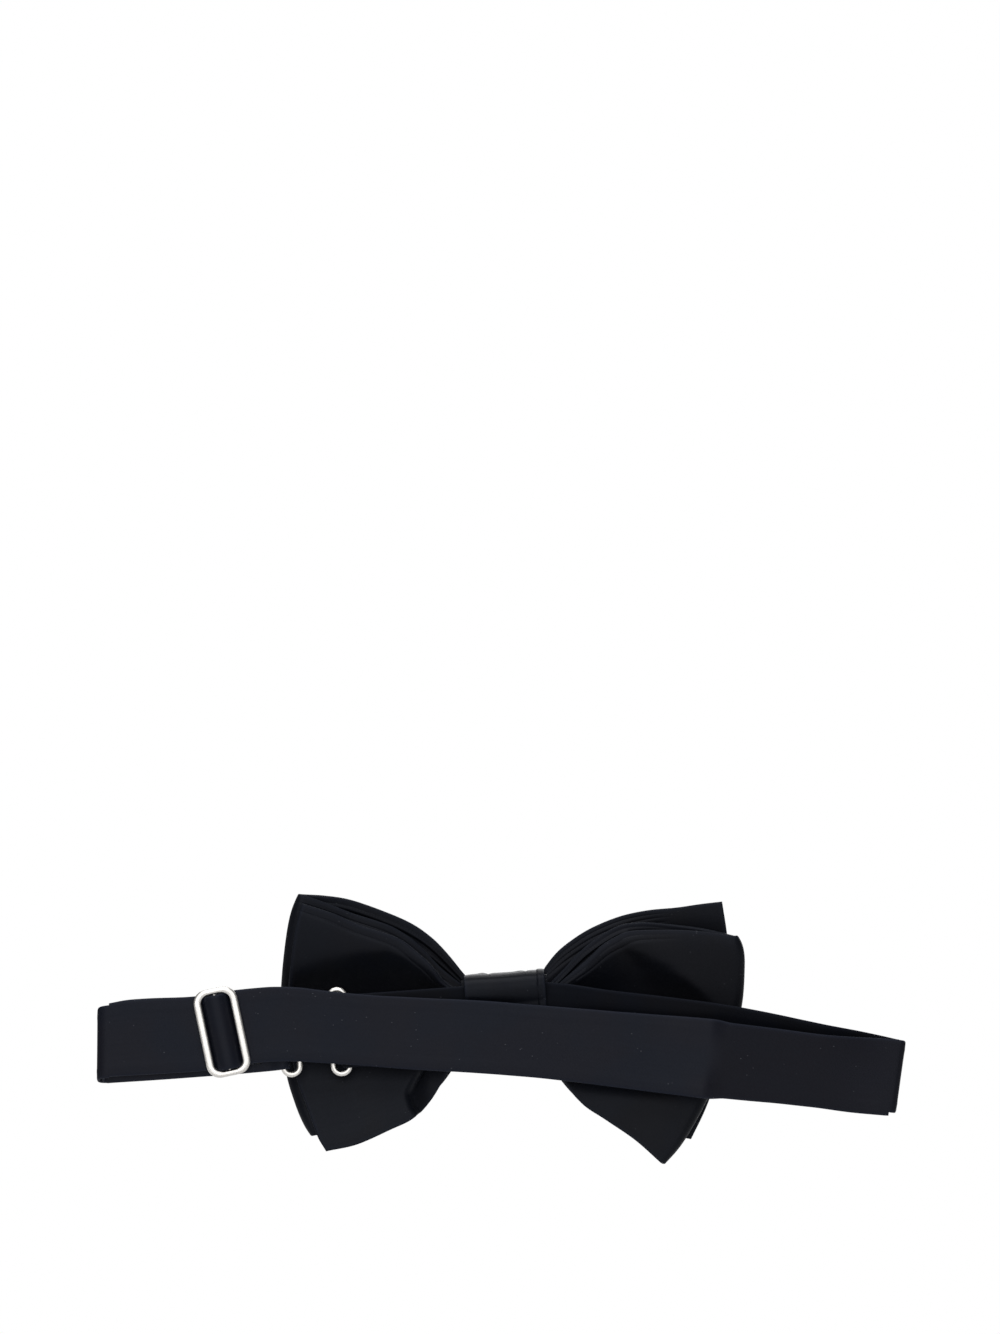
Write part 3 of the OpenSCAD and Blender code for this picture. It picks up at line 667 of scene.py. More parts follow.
def run_roll(x):
    """The outer run leans its face downwards past a cross crease, and lies flat again at the fold."""
    return 15.5 * (1 - step(x, -60.5, -54.5)) * step(x, -104, -84) + 1.2 * hump(x, -30, 14)


def long_roll(x):
    """The long band leans its face downwards between the knot and the fold."""
    return 12.0 * step(-x, 10, 26) * step(x, -103, -84)


def wrapped_line(length, turned_back, radius, gap=0.9):
    """A band's end round a bar, in the bar's own frame: along the lower layer, round the bar and
    back along the upper layer."""
    low, high = INNER_Y - FIT_Y, END_Y - FIT_Y
    a = np.radians(np.linspace(-118, 118, 9))
    turn = [(radius * np.cos(b), radius * np.sin(b)) for b in a]
    points = ([(-length, low), (-length * 0.5, low), (-6.5, low), (-3.4, low - 0.12)] + turn
              + [(-3.4, high + 0.12), (-6.5, high), (-max(turned_back * 0.7, 7), high), (-turned_back, high)])
    c = smooth_line(points, gap)
    return np.stack([c[:, 0], c[:, 1], 0 * c[:, 0]], -1)


def fold_line(radius, side, leg, place, lean, press=0.62, drop=0.0):
    """A pressed half turn about a fold's axis with a short leg at each end: the cosine and sine of
    an angle, the first shortened by press and the second raised to a power so that the layers
    stay flat until close to the edge."""
    a = np.linspace(pi / 2, -pi / 2, 33)
    sine = np.sign(np.sin(a)) * np.abs(np.sin(a)) ** 0.7
    arc = np.stack([side * press * radius * np.cos(a), radius * sine, 0 * a], -1)
    legs = np.linspace(1, 0.2, 4)[:, None] * np.array([-side * leg, 0, 0])
    line = np.concatenate([legs + arc[0], arc, legs[::-1] + arc[-1]])
    line[:, 2] -= drop * (1 - line[:, 1] / radius) / 2
    return turned(line, lean, (place[0], FOLD_Y, place[1]))


def squared(build):
    """The band's left end with its pressed edge upright: near the fold each point is moved along x
    by its height over the fold's middle times a slope, so that the edge leans less than the axis."""
    for p in build.points:
        p[:, 0] -= np.tan(np.radians(LEFT_LEAN + 0.5)) * (p[:, 2] - LEFT_FOLD[1]) * step(p[:, 0], 97, 108)


# ---------------------------------------------------------------- materials

class Value:
    """A number inside a material. Adding, taking away, multiplying or dividing makes a Math node."""

    def __init__(self, shop, socket):
        self.shop, self.socket = shop, socket

    def maths(self, operation, a, b=None):
        return self.shop.node("ShaderNodeMath", {"operation": operation}, {0: a} if b is None else {0: a,
                                                                                                    1: b})

    def __add__(self, other): return self.maths("ADD", self, other)
    def __radd__(self, other): return self.maths("ADD", other, self)
    def __sub__(self, other): return self.maths("SUBTRACT", self, other)
    def __rsub__(self, other): return self.maths("SUBTRACT", other, self)
    def __mul__(self, other): return self.maths("MULTIPLY", self, other)
    def __rmul__(self, other): return self.maths("MULTIPLY", other, self)
    def __truediv__(self, other): return self.maths("DIVIDE", self, other)
    def __rtruediv__(self, other): return self.maths("DIVIDE", other, self)
    def __pow__(self, other): return self.maths("POWER", self, other)
    def sine(self): return self.maths("SINE", self)
    def size(self): return self.maths("ABSOLUTE", self)
    def above(self, limit): return self.maths("GREATER_THAN", self, limit)

    def rise(self, low, high):
        """0 below low, 1 above high, smooth between them."""
        return self.shop.node("ShaderNodeMapRange", {"interpolation_type": "SMOOTHSTEP"},
                              {"Value": self, "From Min": low, "From Max": high})


class Finish:
    """One material while it is being made."""

    def __init__(self, name):
        self.material = bpy.data.materials.new(name)
        self.material.use_nodes = True
        self.tree = self.material.node_tree
        self.tree.nodes.clear()

    def node(self, kind, settings=None, inputs=None, out=0):
        """Makes a node: its settings first, then its sockets' values or links. Gives one output."""
        n = self.tree.nodes.new(kind)
        for key, value in (settings or {}).items():
            if key == "stops":
                ramp = n.color_ramp
                for place, color in value[2:]:
                    ramp.elements.new(place).color = color
                for k, (place, color) in enumerate(value[:2]):
                    ramp.elements[0 if k == 0 else -1].position = place
                    ramp.elements[0 if k == 0 else -1].color = color
            else:
                setattr(n, key, value)
        for key, value in (inputs or {}).items():
            if isinstance(value, Value):
                self.tree.links.new(value.socket, n.inputs[key])
            else:
                n.inputs[key].default_value = value
        return Value(self, n.outputs[out]) if n.outputs else None

    def blend(self, factor, a, b):
        """A colour between a and b."""
        return self.node("ShaderNodeMix", {"data_type": "RGBA"}, {0: factor, 6: a, 7: b}, 2)

    def vector(self, x, y, z=0.0):
        """Three numbers as a vector."""
        return self.node("ShaderNodeCombineXYZ", None, {0: x, 1: y, 2: z})

    def cloth(self):
        """Places on the piece's own cloth, in millimetres along and across it."""
        uv = self.node("ShaderNodeUVMap", {"uv_map": "cloth"})
        x = self.node("ShaderNodeSeparateXYZ", None, {0: uv}, 0)
        y = self.node("ShaderNodeSeparateXYZ", None, {0: uv}, 1)
        return x * 1000.0, y * 1000.0

    def place(self, scale=1.0):
        """Places in the object's own space, times scale."""
        at = self.node("ShaderNodeTexCoord", None, None, "Object")
        return self.node("ShaderNodeVectorMath", {"operation": "SCALE"}, {0: at, "Scale": scale})

    def noise(self, at, scale, detail=3.0, rough=0.55):
        return self.node("ShaderNodeTexNoise", None, {"Vector": at, "Scale": scale, "Detail": detail,
                                                        "Roughness": rough}, "Fac")

    def surface(self, sockets, height=None, strength=0.3, distance=0.0001):
        """Ends the material in a Principled surface, with a bump where a height is given."""
        sockets = dict(sockets)
        if height is not None:
            sockets["Normal"] = self.node("ShaderNodeBump", None, {"Height": height, "Strength": strength,
                                                                     "Distance": distance})
        shader = self.node("ShaderNodeBsdfPrincipled", None, sockets)
        self.node("ShaderNodeOutputMaterial", None, {"Surface": shader})
        return self.material


def rgba(color, gain=1.0):
    """A colour property as the four numbers of a socket, made lighter or darker by gain."""
    return tuple(c * gain for c in color[:3]) + (1.0,)


def silk(name, color, warm, rough, pitch, lint, shine=0.3, past=None):
    """Satin silk: fine slanting warp floats, slow changes of tone and gloss, a painted highlight along
    the rolled edge, and a little lint. Past a place along x, where one is given, painted shade takes over: a
    darker, browner copy of the second tone."""
    f = Finish(name)
    x, y = f.cloth()
    floats = ((x * 0.55 + y) * (2 * pi / pitch)).sine()
    weft = ((x - y * 0.2) * (2 * pi / (pitch * 1.7))).sine()
    slub = f.noise(f.vector(x * 0.035, y * 1.9), 1.0, 4.0)
    cloudy = f.noise(f.place(), 38.0, 4.0)
    broad = f.noise(f.place(), 48.0, 2.0)
    rim = f.node("ShaderNodeAttribute", {"attribute_name": "rim"}, None, "Fac")
    tone = f.blend(broad.rise(0.38, 0.62), rgba(color), rgba(warm))
    painted_shade_end = 0.0
    if past is not None:
        # painted shade: past the given place along x the colour turns darker and browner, where the run leans its
        # face downwards past the cross crease; the gloss there is also rougher
        painted_shade_end = 1 - f.node("ShaderNodeSeparateXYZ", None, {0: f.place()}, 0).rise(past - 0.005, past)
        tone = f.blend(painted_shade_end * 0.8, tone, rgba((warm[0] * 0.9, warm[1] * 0.75, warm[2] * 0.65)))
    tone = f.blend((cloudy - 0.5) * 0.5 + 0.25, tone, rgba(color, 1.7))
    # painted highlight: the colour is made paler towards the sewn and rolled edges, as if they caught the light
    tone = f.blend(rim.rise(0.25, 1.0) * 0.5, tone, rgba(color, 3.2))
    tone = f.blend(floats.rise(-0.6, 1.0) * 0.22, tone, rgba(color, 2.0))
    spots = f.node("ShaderNodeTexVoronoi", {"feature": "F1"},
                   {"Vector": f.vector(x * 0.5 + y * 0.2, y * 0.7 - x * 0.1, 1.7), "Scale": 1.0}, "Distance")
    lucky = f.noise(f.vector(x * 0.21, y * 0.21, 4.0), 1.0, 1.0)
    speck = (1 - spots.rise(0.05, 0.13)) * lucky.rise(0.57, 0.6) * lint
    fibre = f.node("ShaderNodeTexVoronoi", {"feature": "F1"},
                   {"Vector": f.vector(x * 0.16 + y * 0.1, y * 0.9 - x * 0.2, 8.0), "Scale": 1.0}, "Distance")
    speck = speck + (1 - fibre.rise(0.02, 0.05)) * lucky.rise(0.5, 0.6) * (lint * 0.6)
    tone = f.blend(speck, tone, (0.1, 0.105, 0.12, 1))
    gloss = rough + painted_shade_end * 0.07 + (cloudy - 0.5) * 0.12 + (slub - 0.5) * 0.1 + speck * 0.3 + rim * 0.05
    height = floats * 0.35 + weft * 0.15 + slub * 1.2 + speck * 1.5
    return f.surface({"Base Color": tone, "Roughness": gloss, "Specular IOR Level": shine,
                      "Specular Tint": (0.84, 0.88, 1.0, 1),
                      "Sheen Weight": 0.04, "Sheen Roughness": 0.35, "Sheen Tint": (0.6, 0.68, 0.9, 1)},
                     height, 0.28, 0.00005)


def thread(name, color):
    """Sewing thread: two plies twisted round each other, a little glossy."""
    f = Finish(name)
    at = f.place(1000.0)
    u = f.node("ShaderNodeSeparateXYZ", None, {0: at}, 0)
    v = f.node("ShaderNodeSeparateXYZ", None, {0: at}, 2)
    twist = ((u + v) * (2 * pi / 0.32)).sine()
    fuzz = f.noise(f.place(), 2600.0, 2.0)
    tone = f.blend(twist.rise(-0.7, 0.8), rgba(color, 0.7), rgba(color, 1.6))
    return f.surface({"Base Color": tone, "Roughness": 0.55 + (fuzz - 0.5) * 0.3, "Sheen Weight": 0.1},
                     twist + fuzz * 0.6, 0.6, 0.00006)


def plated(name, color, rough):
    """Plated die-cast metal: a warm pale nickel with polishing lines, tiny pits and handled places."""
    f = Finish(name)
    at = f.place(1000.0)
    u = f.node("ShaderNodeSeparateXYZ", None, {0: at}, 0)
    v = f.node("ShaderNodeSeparateXYZ", None, {0: at}, 2)
    lines = f.noise(f.vector(u * 0.5 + v * 9.0, u * 7.0 - v * 0.6), 1.0, 5.0, 0.7)
    handled = f.noise(f.place(), 260.0, 3.0)
    pits = f.node("ShaderNodeTexVoronoi", {"feature": "F1"},
                  {"Vector": f.place(1400.0), "Scale": 1.0}, "Distance")
    pit = (1 - pits.rise(0.06, 0.2)) * handled.rise(0.5, 0.62)
    tone = f.blend(handled.rise(0.35, 0.72) * 0.45, rgba(color), rgba(color, 0.86))
    tone = f.blend(pit * 0.6, tone, rgba(color, 0.35))
    gloss = rough + (lines - 0.5) * 0.16 + (handled - 0.5) * 0.14 + pit * 0.2
    return f.surface({"Base Color": tone, "Metallic": 1.0, "Roughness": gloss},
                     lines * 0.5 - pit * 1.4, 0.16, 0.00005)


def paper(name, color):
    """The pale floor: matt paper with faint fibres."""
    f = Finish(name)
    fibre = f.noise(f.place(), 220.0, 6.0)
    tone = f.blend(fibre.rise(0.3, 0.7) * 0.3, rgba(color), rgba(color, 0.96))
    return f.surface({"Base Color": tone, "Roughness": 0.9, "Specular IOR Level": 0.1}, fibre, 0.1, 0.0002)


def shared(name, make):
    """A material by name, made the first time it is asked for."""
    found = bpy.data.materials.get(name)
    return found or make(name)


def bow_silk(scene):
    c = scene.bow_tie_finish
    return shared("midnight_satin", lambda n: silk(n, c.silk_color, c.silk_warm, c.silk_roughness,
                                                   c.weave_pitch / MM, 0.5 * c.lint, c.silk_shine))


def band_silk(scene):
    c = scene.bow_tie_finish
    # the band's silk gets painted shade past x = -55 mm
    return shared("neck_band_satin", lambda n: silk(n, c.band_color, c.band_warm, c.silk_roughness + 0.03,
                                                    c.weave_pitch / MM * 0.9, c.lint, c.band_shine, -0.055))


def inner_silk(scene):
    c = scene.bow_tie_finish
    return shared("inner_band_satin", lambda n: silk(n, c.silk_color, c.silk_warm, c.silk_roughness + 0.06,
                                                     c.weave_pitch / MM * 0.9, 0.6 * c.lint, 0.45 * c.silk_shine))


def nickel(scene):
    c = scene.bow_tie_finish
    return shared("warm_nickel", lambda n: plated(n, c.metal_color, c.metal_roughness))


def sewing_thread(scene):
    return shared("black_thread", lambda n: thread(n, scene.bow_tie_finish.thread_color))


def repaint(node, material):
    """A kept CAD node gets the material in each of its slots."""
    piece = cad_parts[node]
    for slot in piece.material_slots:
        slot.material = material
    if not piece.material_slots:
        piece.data.materials.append(material)


# ---------------------------------------------------------------- settings

class BowTieSizes(bpy.types.PropertyGroup):
    """Sizes that a maker would change."""
    bow_width: FloatProperty(name="Bow width", description="Across both wings", default=0.126, unit="LENGTH")
    bow_height: FloatProperty(name="Bow height", description="Between the highest and lowest wing corner",
                              default=0.074, unit="LENGTH")
    cloth_thickness: FloatProperty(name="Wing thickness", description="Two plies of silk and the interlining",
                                   default=0.0016, unit="LENGTH")
    knot_width: FloatProperty(name="Knot width", description="Along the band", default=0.0214, unit="LENGTH")
    knot_depth: FloatProperty(name="Knot depth", description="Front to back", default=0.016, unit="LENGTH")
    knot_height: FloatProperty(name="Knot height", description="Top to bottom", default=0.026, unit="LENGTH")
    band_width: FloatProperty(name="Band width", description="Width of the neck band", default=0.020,
                              unit="LENGTH")
    band_thickness: FloatProperty(name="Band thickness", description="Thickness of the sewn band",
                                  default=0.001, unit="LENGTH")
    slider_width: FloatProperty(name="Slider width", description="Along the band", default=0.0123,
                                unit="LENGTH")
    slider_height: FloatProperty(name="Slider height", description="Across the band", default=0.0244,
                                 unit="LENGTH")
    ring_width: FloatProperty(name="Clasp ring width", description="Width of the eye and of the hook's ring",
                              default=0.006, unit="LENGTH")
    ring_height: FloatProperty(name="Clasp ring height",
                               description="Height of the eye and of the hook's ring",
                               default=0.0246, unit="LENGTH")


class BowTieFinish(bpy.types.PropertyGroup):
    """Colours and surface finish."""
    silk_color: FloatVectorProperty(name="Bow silk", description="Colour of the wings and the knot",
                                    subtype="COLOR",
                                    default=(0.0030, 0.0038, 0.0066), min=0, max=1)
    silk_warm: FloatVectorProperty(name="Bow silk, second tone", description="Where the silk turns browner",
                                   subtype="COLOR", default=(0.0042, 0.0038, 0.0044), min=0, max=1)
    band_color: FloatVectorProperty(name="Band silk", description="Colour of the neck band", subtype="COLOR",
                                    default=(0.0034, 0.0048, 0.0100), min=0, max=1)
    band_warm: FloatVectorProperty(name="Band silk, second tone", description="Where the band turns browner",
                                   subtype="COLOR", default=(0.0058, 0.0050, 0.0082), min=0, max=1)
    silk_roughness: FloatProperty(name="Silk roughness", description="Spread of the satin's gloss",
                                  default=0.46,
                                  min=0, max=1, subtype="FACTOR")
    silk_shine: FloatProperty(name="Bow shine", description="Strength of the bow's gloss", default=0.2,
                              min=0, max=1, subtype="FACTOR")
    band_shine: FloatProperty(name="Band shine", description="Strength of the band's gloss", default=0.24,
                              min=0, max=1, subtype="FACTOR")
    weave_pitch: FloatProperty(name="Weave pitch", description="Distance between warp floats",
                               default=0.00042,
                               unit="LENGTH")
    lint: FloatProperty(name="Lint", description="How much lint lies on the silk", default=0.7, min=0, max=1,
                        subtype="FACTOR")
    metal_color: FloatVectorProperty(name="Metal", description="Colour of the plating", subtype="COLOR",
                                     default=(0.96, 0.935, 0.895), min=0, max=1)
    metal_roughness: FloatProperty(name="Metal roughness", description="Spread of the metal's gloss",
                                   default=0.3,
                                   min=0, max=1, subtype="FACTOR")
    thread_color: FloatVectorProperty(name="Thread", description="Colour of the stitches", subtype="COLOR",
                                      default=(0.005, 0.0055, 0.009), min=0, max=1)
    floor_color: FloatVectorProperty(name="Floor", description="Colour of the floor", subtype="COLOR",
                                     default=(0.9, 0.9, 0.9), min=0, max=1)


class BowTieStage(bpy.types.PropertyGroup):
    """Camera, light and floor."""
    distance: FloatProperty(name="Camera distance", description="From the knot's back face", default=3.0,
                            unit="LENGTH")
    view_height: FloatProperty(name="View height", description="Height that the camera takes in",
                               default=0.3655,
                               unit="LENGTH")
    floor_level: FloatProperty(name="Floor level", description="Height of the floor", default=-0.14,
                               unit="LENGTH")
    front_light: FloatProperty(name="Front light", description="Power of the light behind the camera",
                               default=25.0,
                               min=0, unit="POWER")
    far_light: FloatProperty(name="Far light", description="Power of the light on the bow's front",
                             default=30.0,
                             min=0, unit="POWER")
    top_light: FloatProperty(name="Top light", description="Power of the light above", default=15.0, min=0,
                             unit="POWER")
    room_light: FloatProperty(name="Room light", description="Strength of the light from all round",
                              default=0.16,
                              min=0)


# ---------------------------------------------------------------- operators

def put_wing(scene, name, surface, nodes):
    """One wing's cloth from its middle surface, in place of its three CAD plies."""
    b = Build()
    cloth_between(b, surface, scene.bow_tie_sizes.cloth_thickness / MM / 2)
    piece = b.finish(name, bow_silk(scene), "bow")
    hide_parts(*nodes)
    return piece


class BOWTIE_OT_left_wing(bpy.types.Operator):
    """Makes the left wing: the tail behind and the loop in front"""
    bl_idname = "bowtie.left_wing"
    bl_label = "Left wing"

    def execute(self, context):
        s = context.scene.bow_tie_sizes
        size = (s.bow_width / MM, s.bow_height / MM)
        tail = tail_surface(LEFT_TAIL, size, (LEFT_TAIL_TOP, LEFT_TAIL_BOTTOM, LEFT_TAIL_END),
                            left_hollow, 1.0, [(0.82, 0.955)], 1, 1.2, 11)
        put_wing(context.scene, "left_tail_cloth", tail,
                 ["left_tail_back_silk", "left_tail_interlining", "left_tail_front_silk"])
        outlines = ((LEFT_LOOP_TOP, LEFT_LOOP_BOTTOM, LEFT_LOOP_END),
                    (LEFT_LOOP_NEAR_TOP, LEFT_LOOP_BOTTOM, LEFT_LOOP_END))
        loop = loop_surface(LEFT_LOOP, size, 1, outlines, left_hollow, (0.64, 0.86),
                            [(0.76, 0.9), (0.88, 0.955)], 1.2, 21)
        put_wing(context.scene, "left_loop_cloth", loop,
                 ["left_loop_outer_silk", "left_loop_interlining", "left_loop_inner_silk"])
        return {"FINISHED"}


class BOWTIE_OT_right_wing(bpy.types.Operator):
    """Makes the right wing: the loop behind and the tail in front"""
    bl_idname = "bowtie.right_wing"
    bl_label = "Right wing"

    def execute(self, context):
        s = context.scene.bow_tie_sizes
        size = (s.bow_width / MM, s.bow_height / MM)
        outlines = ((RIGHT_LOOP_TOP, RIGHT_LOOP_BOTTOM, RIGHT_LOOP_END),
                    (RIGHT_LOOP_NEAR_TOP, RIGHT_LOOP_BOTTOM, RIGHT_LOOP_END))
        loop = loop_surface(RIGHT_LOOP, size, -1, outlines, right_hollow, (0.75, 1.0),
                            [(0.8, 0.925), (0.9, 0.965)], 0.8, 31)
        put_wing(context.scene, "right_loop_cloth", loop,
                 ["right_loop_outer_silk", "right_loop_interlining", "right_loop_inner_silk"])
        tail = tail_surface(RIGHT_TAIL, size, (RIGHT_TAIL_TOP, RIGHT_TAIL_BOTTOM, RIGHT_TAIL_END),
                            right_hollow, 0.25, [(0.93, 0.98), (0.85, 0.953), (0.77, 0.92)], 1, 0.8, 41)
        put_wing(context.scene, "right_tail_cloth", tail,
                 ["right_tail_back_silk", "right_tail_interlining", "right_tail_front_silk"])
        return {"FINISHED"}


def waist_surface(width, depth, height, centre_y):
    """The gathered middle: a rounded section in y and z whose radius swells and dips with the
    cosine of twenty-two pleats, carried along x and flared at both ends."""
    x = np.linspace(-1, 1, 41)[:, None]
    a = np.linspace(0, 2 * pi, 176, endpoint=False)[None, :]
    ca, sa = np.cos(a), np.sin(a)
    grow = 1 - 0.05 * np.cos(22 * a + 0.8 * np.sin(3 * a)) * (0.6 + 0.4 * np.abs(x)) + 0.04 * x**2
    y = depth / 2 * np.sign(ca) * np.abs(ca) ** 0.75 * grow
    z = height / 2 * np.sign(sa) * np.abs(sa) ** 0.75 * grow
    return np.stack([x * width / 2 + 0 * a, centre_y + y, z + 0 * x], -1)


class BOWTIE_OT_knot(bpy.types.Operator):
    """Makes the knot's wrap, the gathered waist inside it and the stitches on its back"""
    bl_idname = "bowtie.knot"
    bl_label = "Knot"

    def execute(self, context):
        scene, s = context.scene, context.scene.bow_tie_sizes
        wide, deep, high = s.knot_width / MM, s.knot_depth / MM, s.knot_height / MM - 0.8
        wall = 1.4
        # the wrap: a rounded section in y and z, carried along x, with its folds along it
        section = rounded_loop(deep, high, 3.4, arc=21, side=36)
        out = unit(section)
        x = (np.sin(pi / 2 * np.linspace(-1, 1, 64)) * wide / 2)[None, :]
        k = np.linspace(0, 2 * pi, len(section), endpoint=False)[:, None]
        slim = 0.35 * (np.abs(x) / (wide / 2)) ** 4 + 0.12 * np.cos(2 * pi * x / wide)
        front = step(-section[:, 0], -2, 5)[:, None]
        folds = 0.2 * hump(x, 4.6 + 1.4 * np.sin(k), 0.9) - 0.26 * hump(x, 3.1 + 1.2 * np.sin(k), 0.7)
        folds = folds + 0.16 * hump(x, -3.5 - np.sin(k + 0.6), 1.1)
        folds = folds - 0.2 * hump(x, -5.2 - np.sin(k + 0.6), 0.6)
        folds = folds * front + 0.34 * (1 - step(x, -9.4, -9.1))
        folds = folds + 0.06 * ripple(x / 3 + 0 * k, 2 * np.sin(k) + 0 * x, 3)
        depth_in = wall / 2 + slim - folds
        y = section[:, 0][:, None] - deep / 2 - out[:, 0][:, None] * depth_in
        z = section[:, 1][:, None] - out[:, 1][:, None] * depth_in
        puff = 0.46 * (ramp(z + 0.04 * x - 4.4, 0.15) - ramp(z + 0.04 * x - 7.9, 0.15))
        y = y + puff * (1 - 0.8 * step(z, 10.6, 12.8)) * step(y, -4, -1) * (1 + 0.08 * np.sin(0.5 * x))
        p = turned(np.stack([x + 0 * y, y, z - 0.25], -1), KNOT_TILT)
        b = Build()
        cloth_between(b, p, wall / 2 - 0.05, closed=True)
        knot = b.finish("knot_cloth", bow_silk(scene), "bow")
        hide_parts("knot_wrap", "knot_interlining")

        low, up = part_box("pleated_waist")
        w = waist_surface(wide + 2.2, (up[1] - low[1]) / MM, (up[2] - low[2]) / MM - 1.6,
                          (up[1] + low[1]) / MM / 2)
        b = Build()
        w = turned(w, KNOT_TILT)
        n, m = w.shape[:2]
        b.add(w, grid_quads(n, m, 0, closed_m=True), w[..., [0, 2]], 0.2)
        for row in (w[0], w[-1]):
            centre = row.mean(axis=0)
            rings = centre + (row - centre) * np.linspace(1, 0, 9)[:, None, None]
            b.add(rings, grid_quads(9, m, 0, closed_m=True), rings[..., [1, 2]], 0.2)
        waist = b.finish("waist_cloth", bow_silk(scene), "bow")
        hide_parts("pleated_waist")
        repaint("waist_thread", sewing_thread(scene))

        b = Build()
        centres = turned(np.array([(0, 0.1, j * high / 9) for j in range(-3, 2)]), KNOT_TILT)
        stitches(b, centres, turned((1, 0, 0.25), KNOT_TILT), 1.8, 0.14)
        seam = b.finish("knot_stitches", sewing_thread(scene), "bow")
        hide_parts("wrap_seam_stitches")
        return {"FINISHED"}


def clasp_loop_radius(sizes):
    """Middle radius of a band wrapped round a clasp's bar."""
    return np.hypot(1.5, 1.4) / 2 + 0.12 + sizes.band_thickness / MM / 2


class BOWTIE_OT_inner_bands(bpy.types.Operator):
    """Makes the short band to the hook and the long band to the right fold"""
    bl_idname = "bowtie.inner_bands"
    bl_label = "Inner bands"

    def execute(self, context):
        scene, s = context.scene, context.scene.bow_tie_sizes
        wide, thick = s.band_width / MM, s.band_thickness / MM
        place = (HOOK_BAR[0], FIT_Y, HOOK_BAR[1])
        line = wrapped_line(43.4, 11, clasp_loop_radius(s))
        b = Build()
        ribbon(b, turned(line, SHORT_SLOPE, place), lean_axis(SHORT_SLOPE), wide, thick, 0.05, 5)
        short = b.finish("short_band_cloth", inner_silk(scene), "bow")
        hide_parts("short_band", "short_band_interlining")

        b = Build()
        centres = turned(np.array([(-9.4, END_Y - FIT_Y + thick / 2 + 0.12, j * 2.05) for j in range(-4, 5)]),
                         SHORT_SLOPE, place)
        stitches(b, centres, turned((1, 0, 0.15), SHORT_SLOPE), 1.6, 0.2)
        tack = b.finish("short_band_stitches", sewing_thread(scene), "bow")
        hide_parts("short_band_tack")

        c, across = flat_line(LONG_ROUTE, INNER_Y, (0.3, 0.6), leans=(RIGHT_LEAN, None), roll=long_roll)
        c[:, 1] += 0.08 * long_roll(c[:, 0])
        b = Build()
        ribbon(b, c, across, wide, thick, 0.07, 9)
        long_band = b.finish("long_band_cloth", inner_silk(scene), "bow")
        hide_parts("long_band", "long_band_interlining")
        return {"FINISHED"}


class BOWTIE_OT_outer_band(bpy.types.Operator):
    """Makes the outer run, the right fold and the tail that lies under the run"""
    bl_idname = "bowtie.outer_band"
    bl_label = "Outer band"

    def execute(self, context):
        scene, s = context.scene, context.scene.bow_tie_sizes
        wide, thick = s.band_width / MM, s.band_thickness / MM
        c, across = flat_line(OUTER_ROUTE, RUN_Y, (0.3, 0.3), 1.0, (RIGHT_LEAN, LEFT_LEAN), run_roll)
        c[:, 1] += 0.9 * hump(c[:, 0], -56, 9) * step(-c[:, 0], 30, 50) + 0.25 * hump(c[:, 0], 20, 14)
        top, bottom = smooth_line(RUN_TOP, 0.4), smooth_line(RUN_BOTTOM, 0.4)
        high, low = (np.interp(c[:, 0], e[:, 0], e[:, 1]) for e in (top, bottom))
        rise = unit(np.gradient(c, axis=0))[:, 0]
        c[:, 2] = (high + low) / 2
        b = Build()
        ribbon(b, c, across, (high - low) * rise * wide / 20, thick, 0.07, 14)
        squared(b)
        run = b.finish("outer_run_cloth", band_silk(scene), "band_outer")
        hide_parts("outer_run", "outer_run_interlining")

        route = [left_stretch(78), left_stretch(94), LEFT_FOLD]
        c, across = flat_line(route, TAIL_Y, (0, 0.3), 1.2, (None, LEFT_LEAN))
        b = Build()
        ribbon(b, c, across, wide - 0.4, thick, 0.03, 17)
        squared(b)
        tail = b.finish("tail_run_cloth", band_silk(scene), "band_outer")
        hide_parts("tail_run")

        b = Build()
        bend = fold_line(FOLD_R, -1, 0.6, RIGHT_FOLD, RIGHT_LEAN)
        ribbon(b, bend, lean_axis(RIGHT_LEAN), wide - 0.05, thick - 0.03)
        fold = b.finish("right_fold_cloth", band_silk(scene), None)
        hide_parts("right_fold")
        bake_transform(fold)
        return {"FINISHED"}


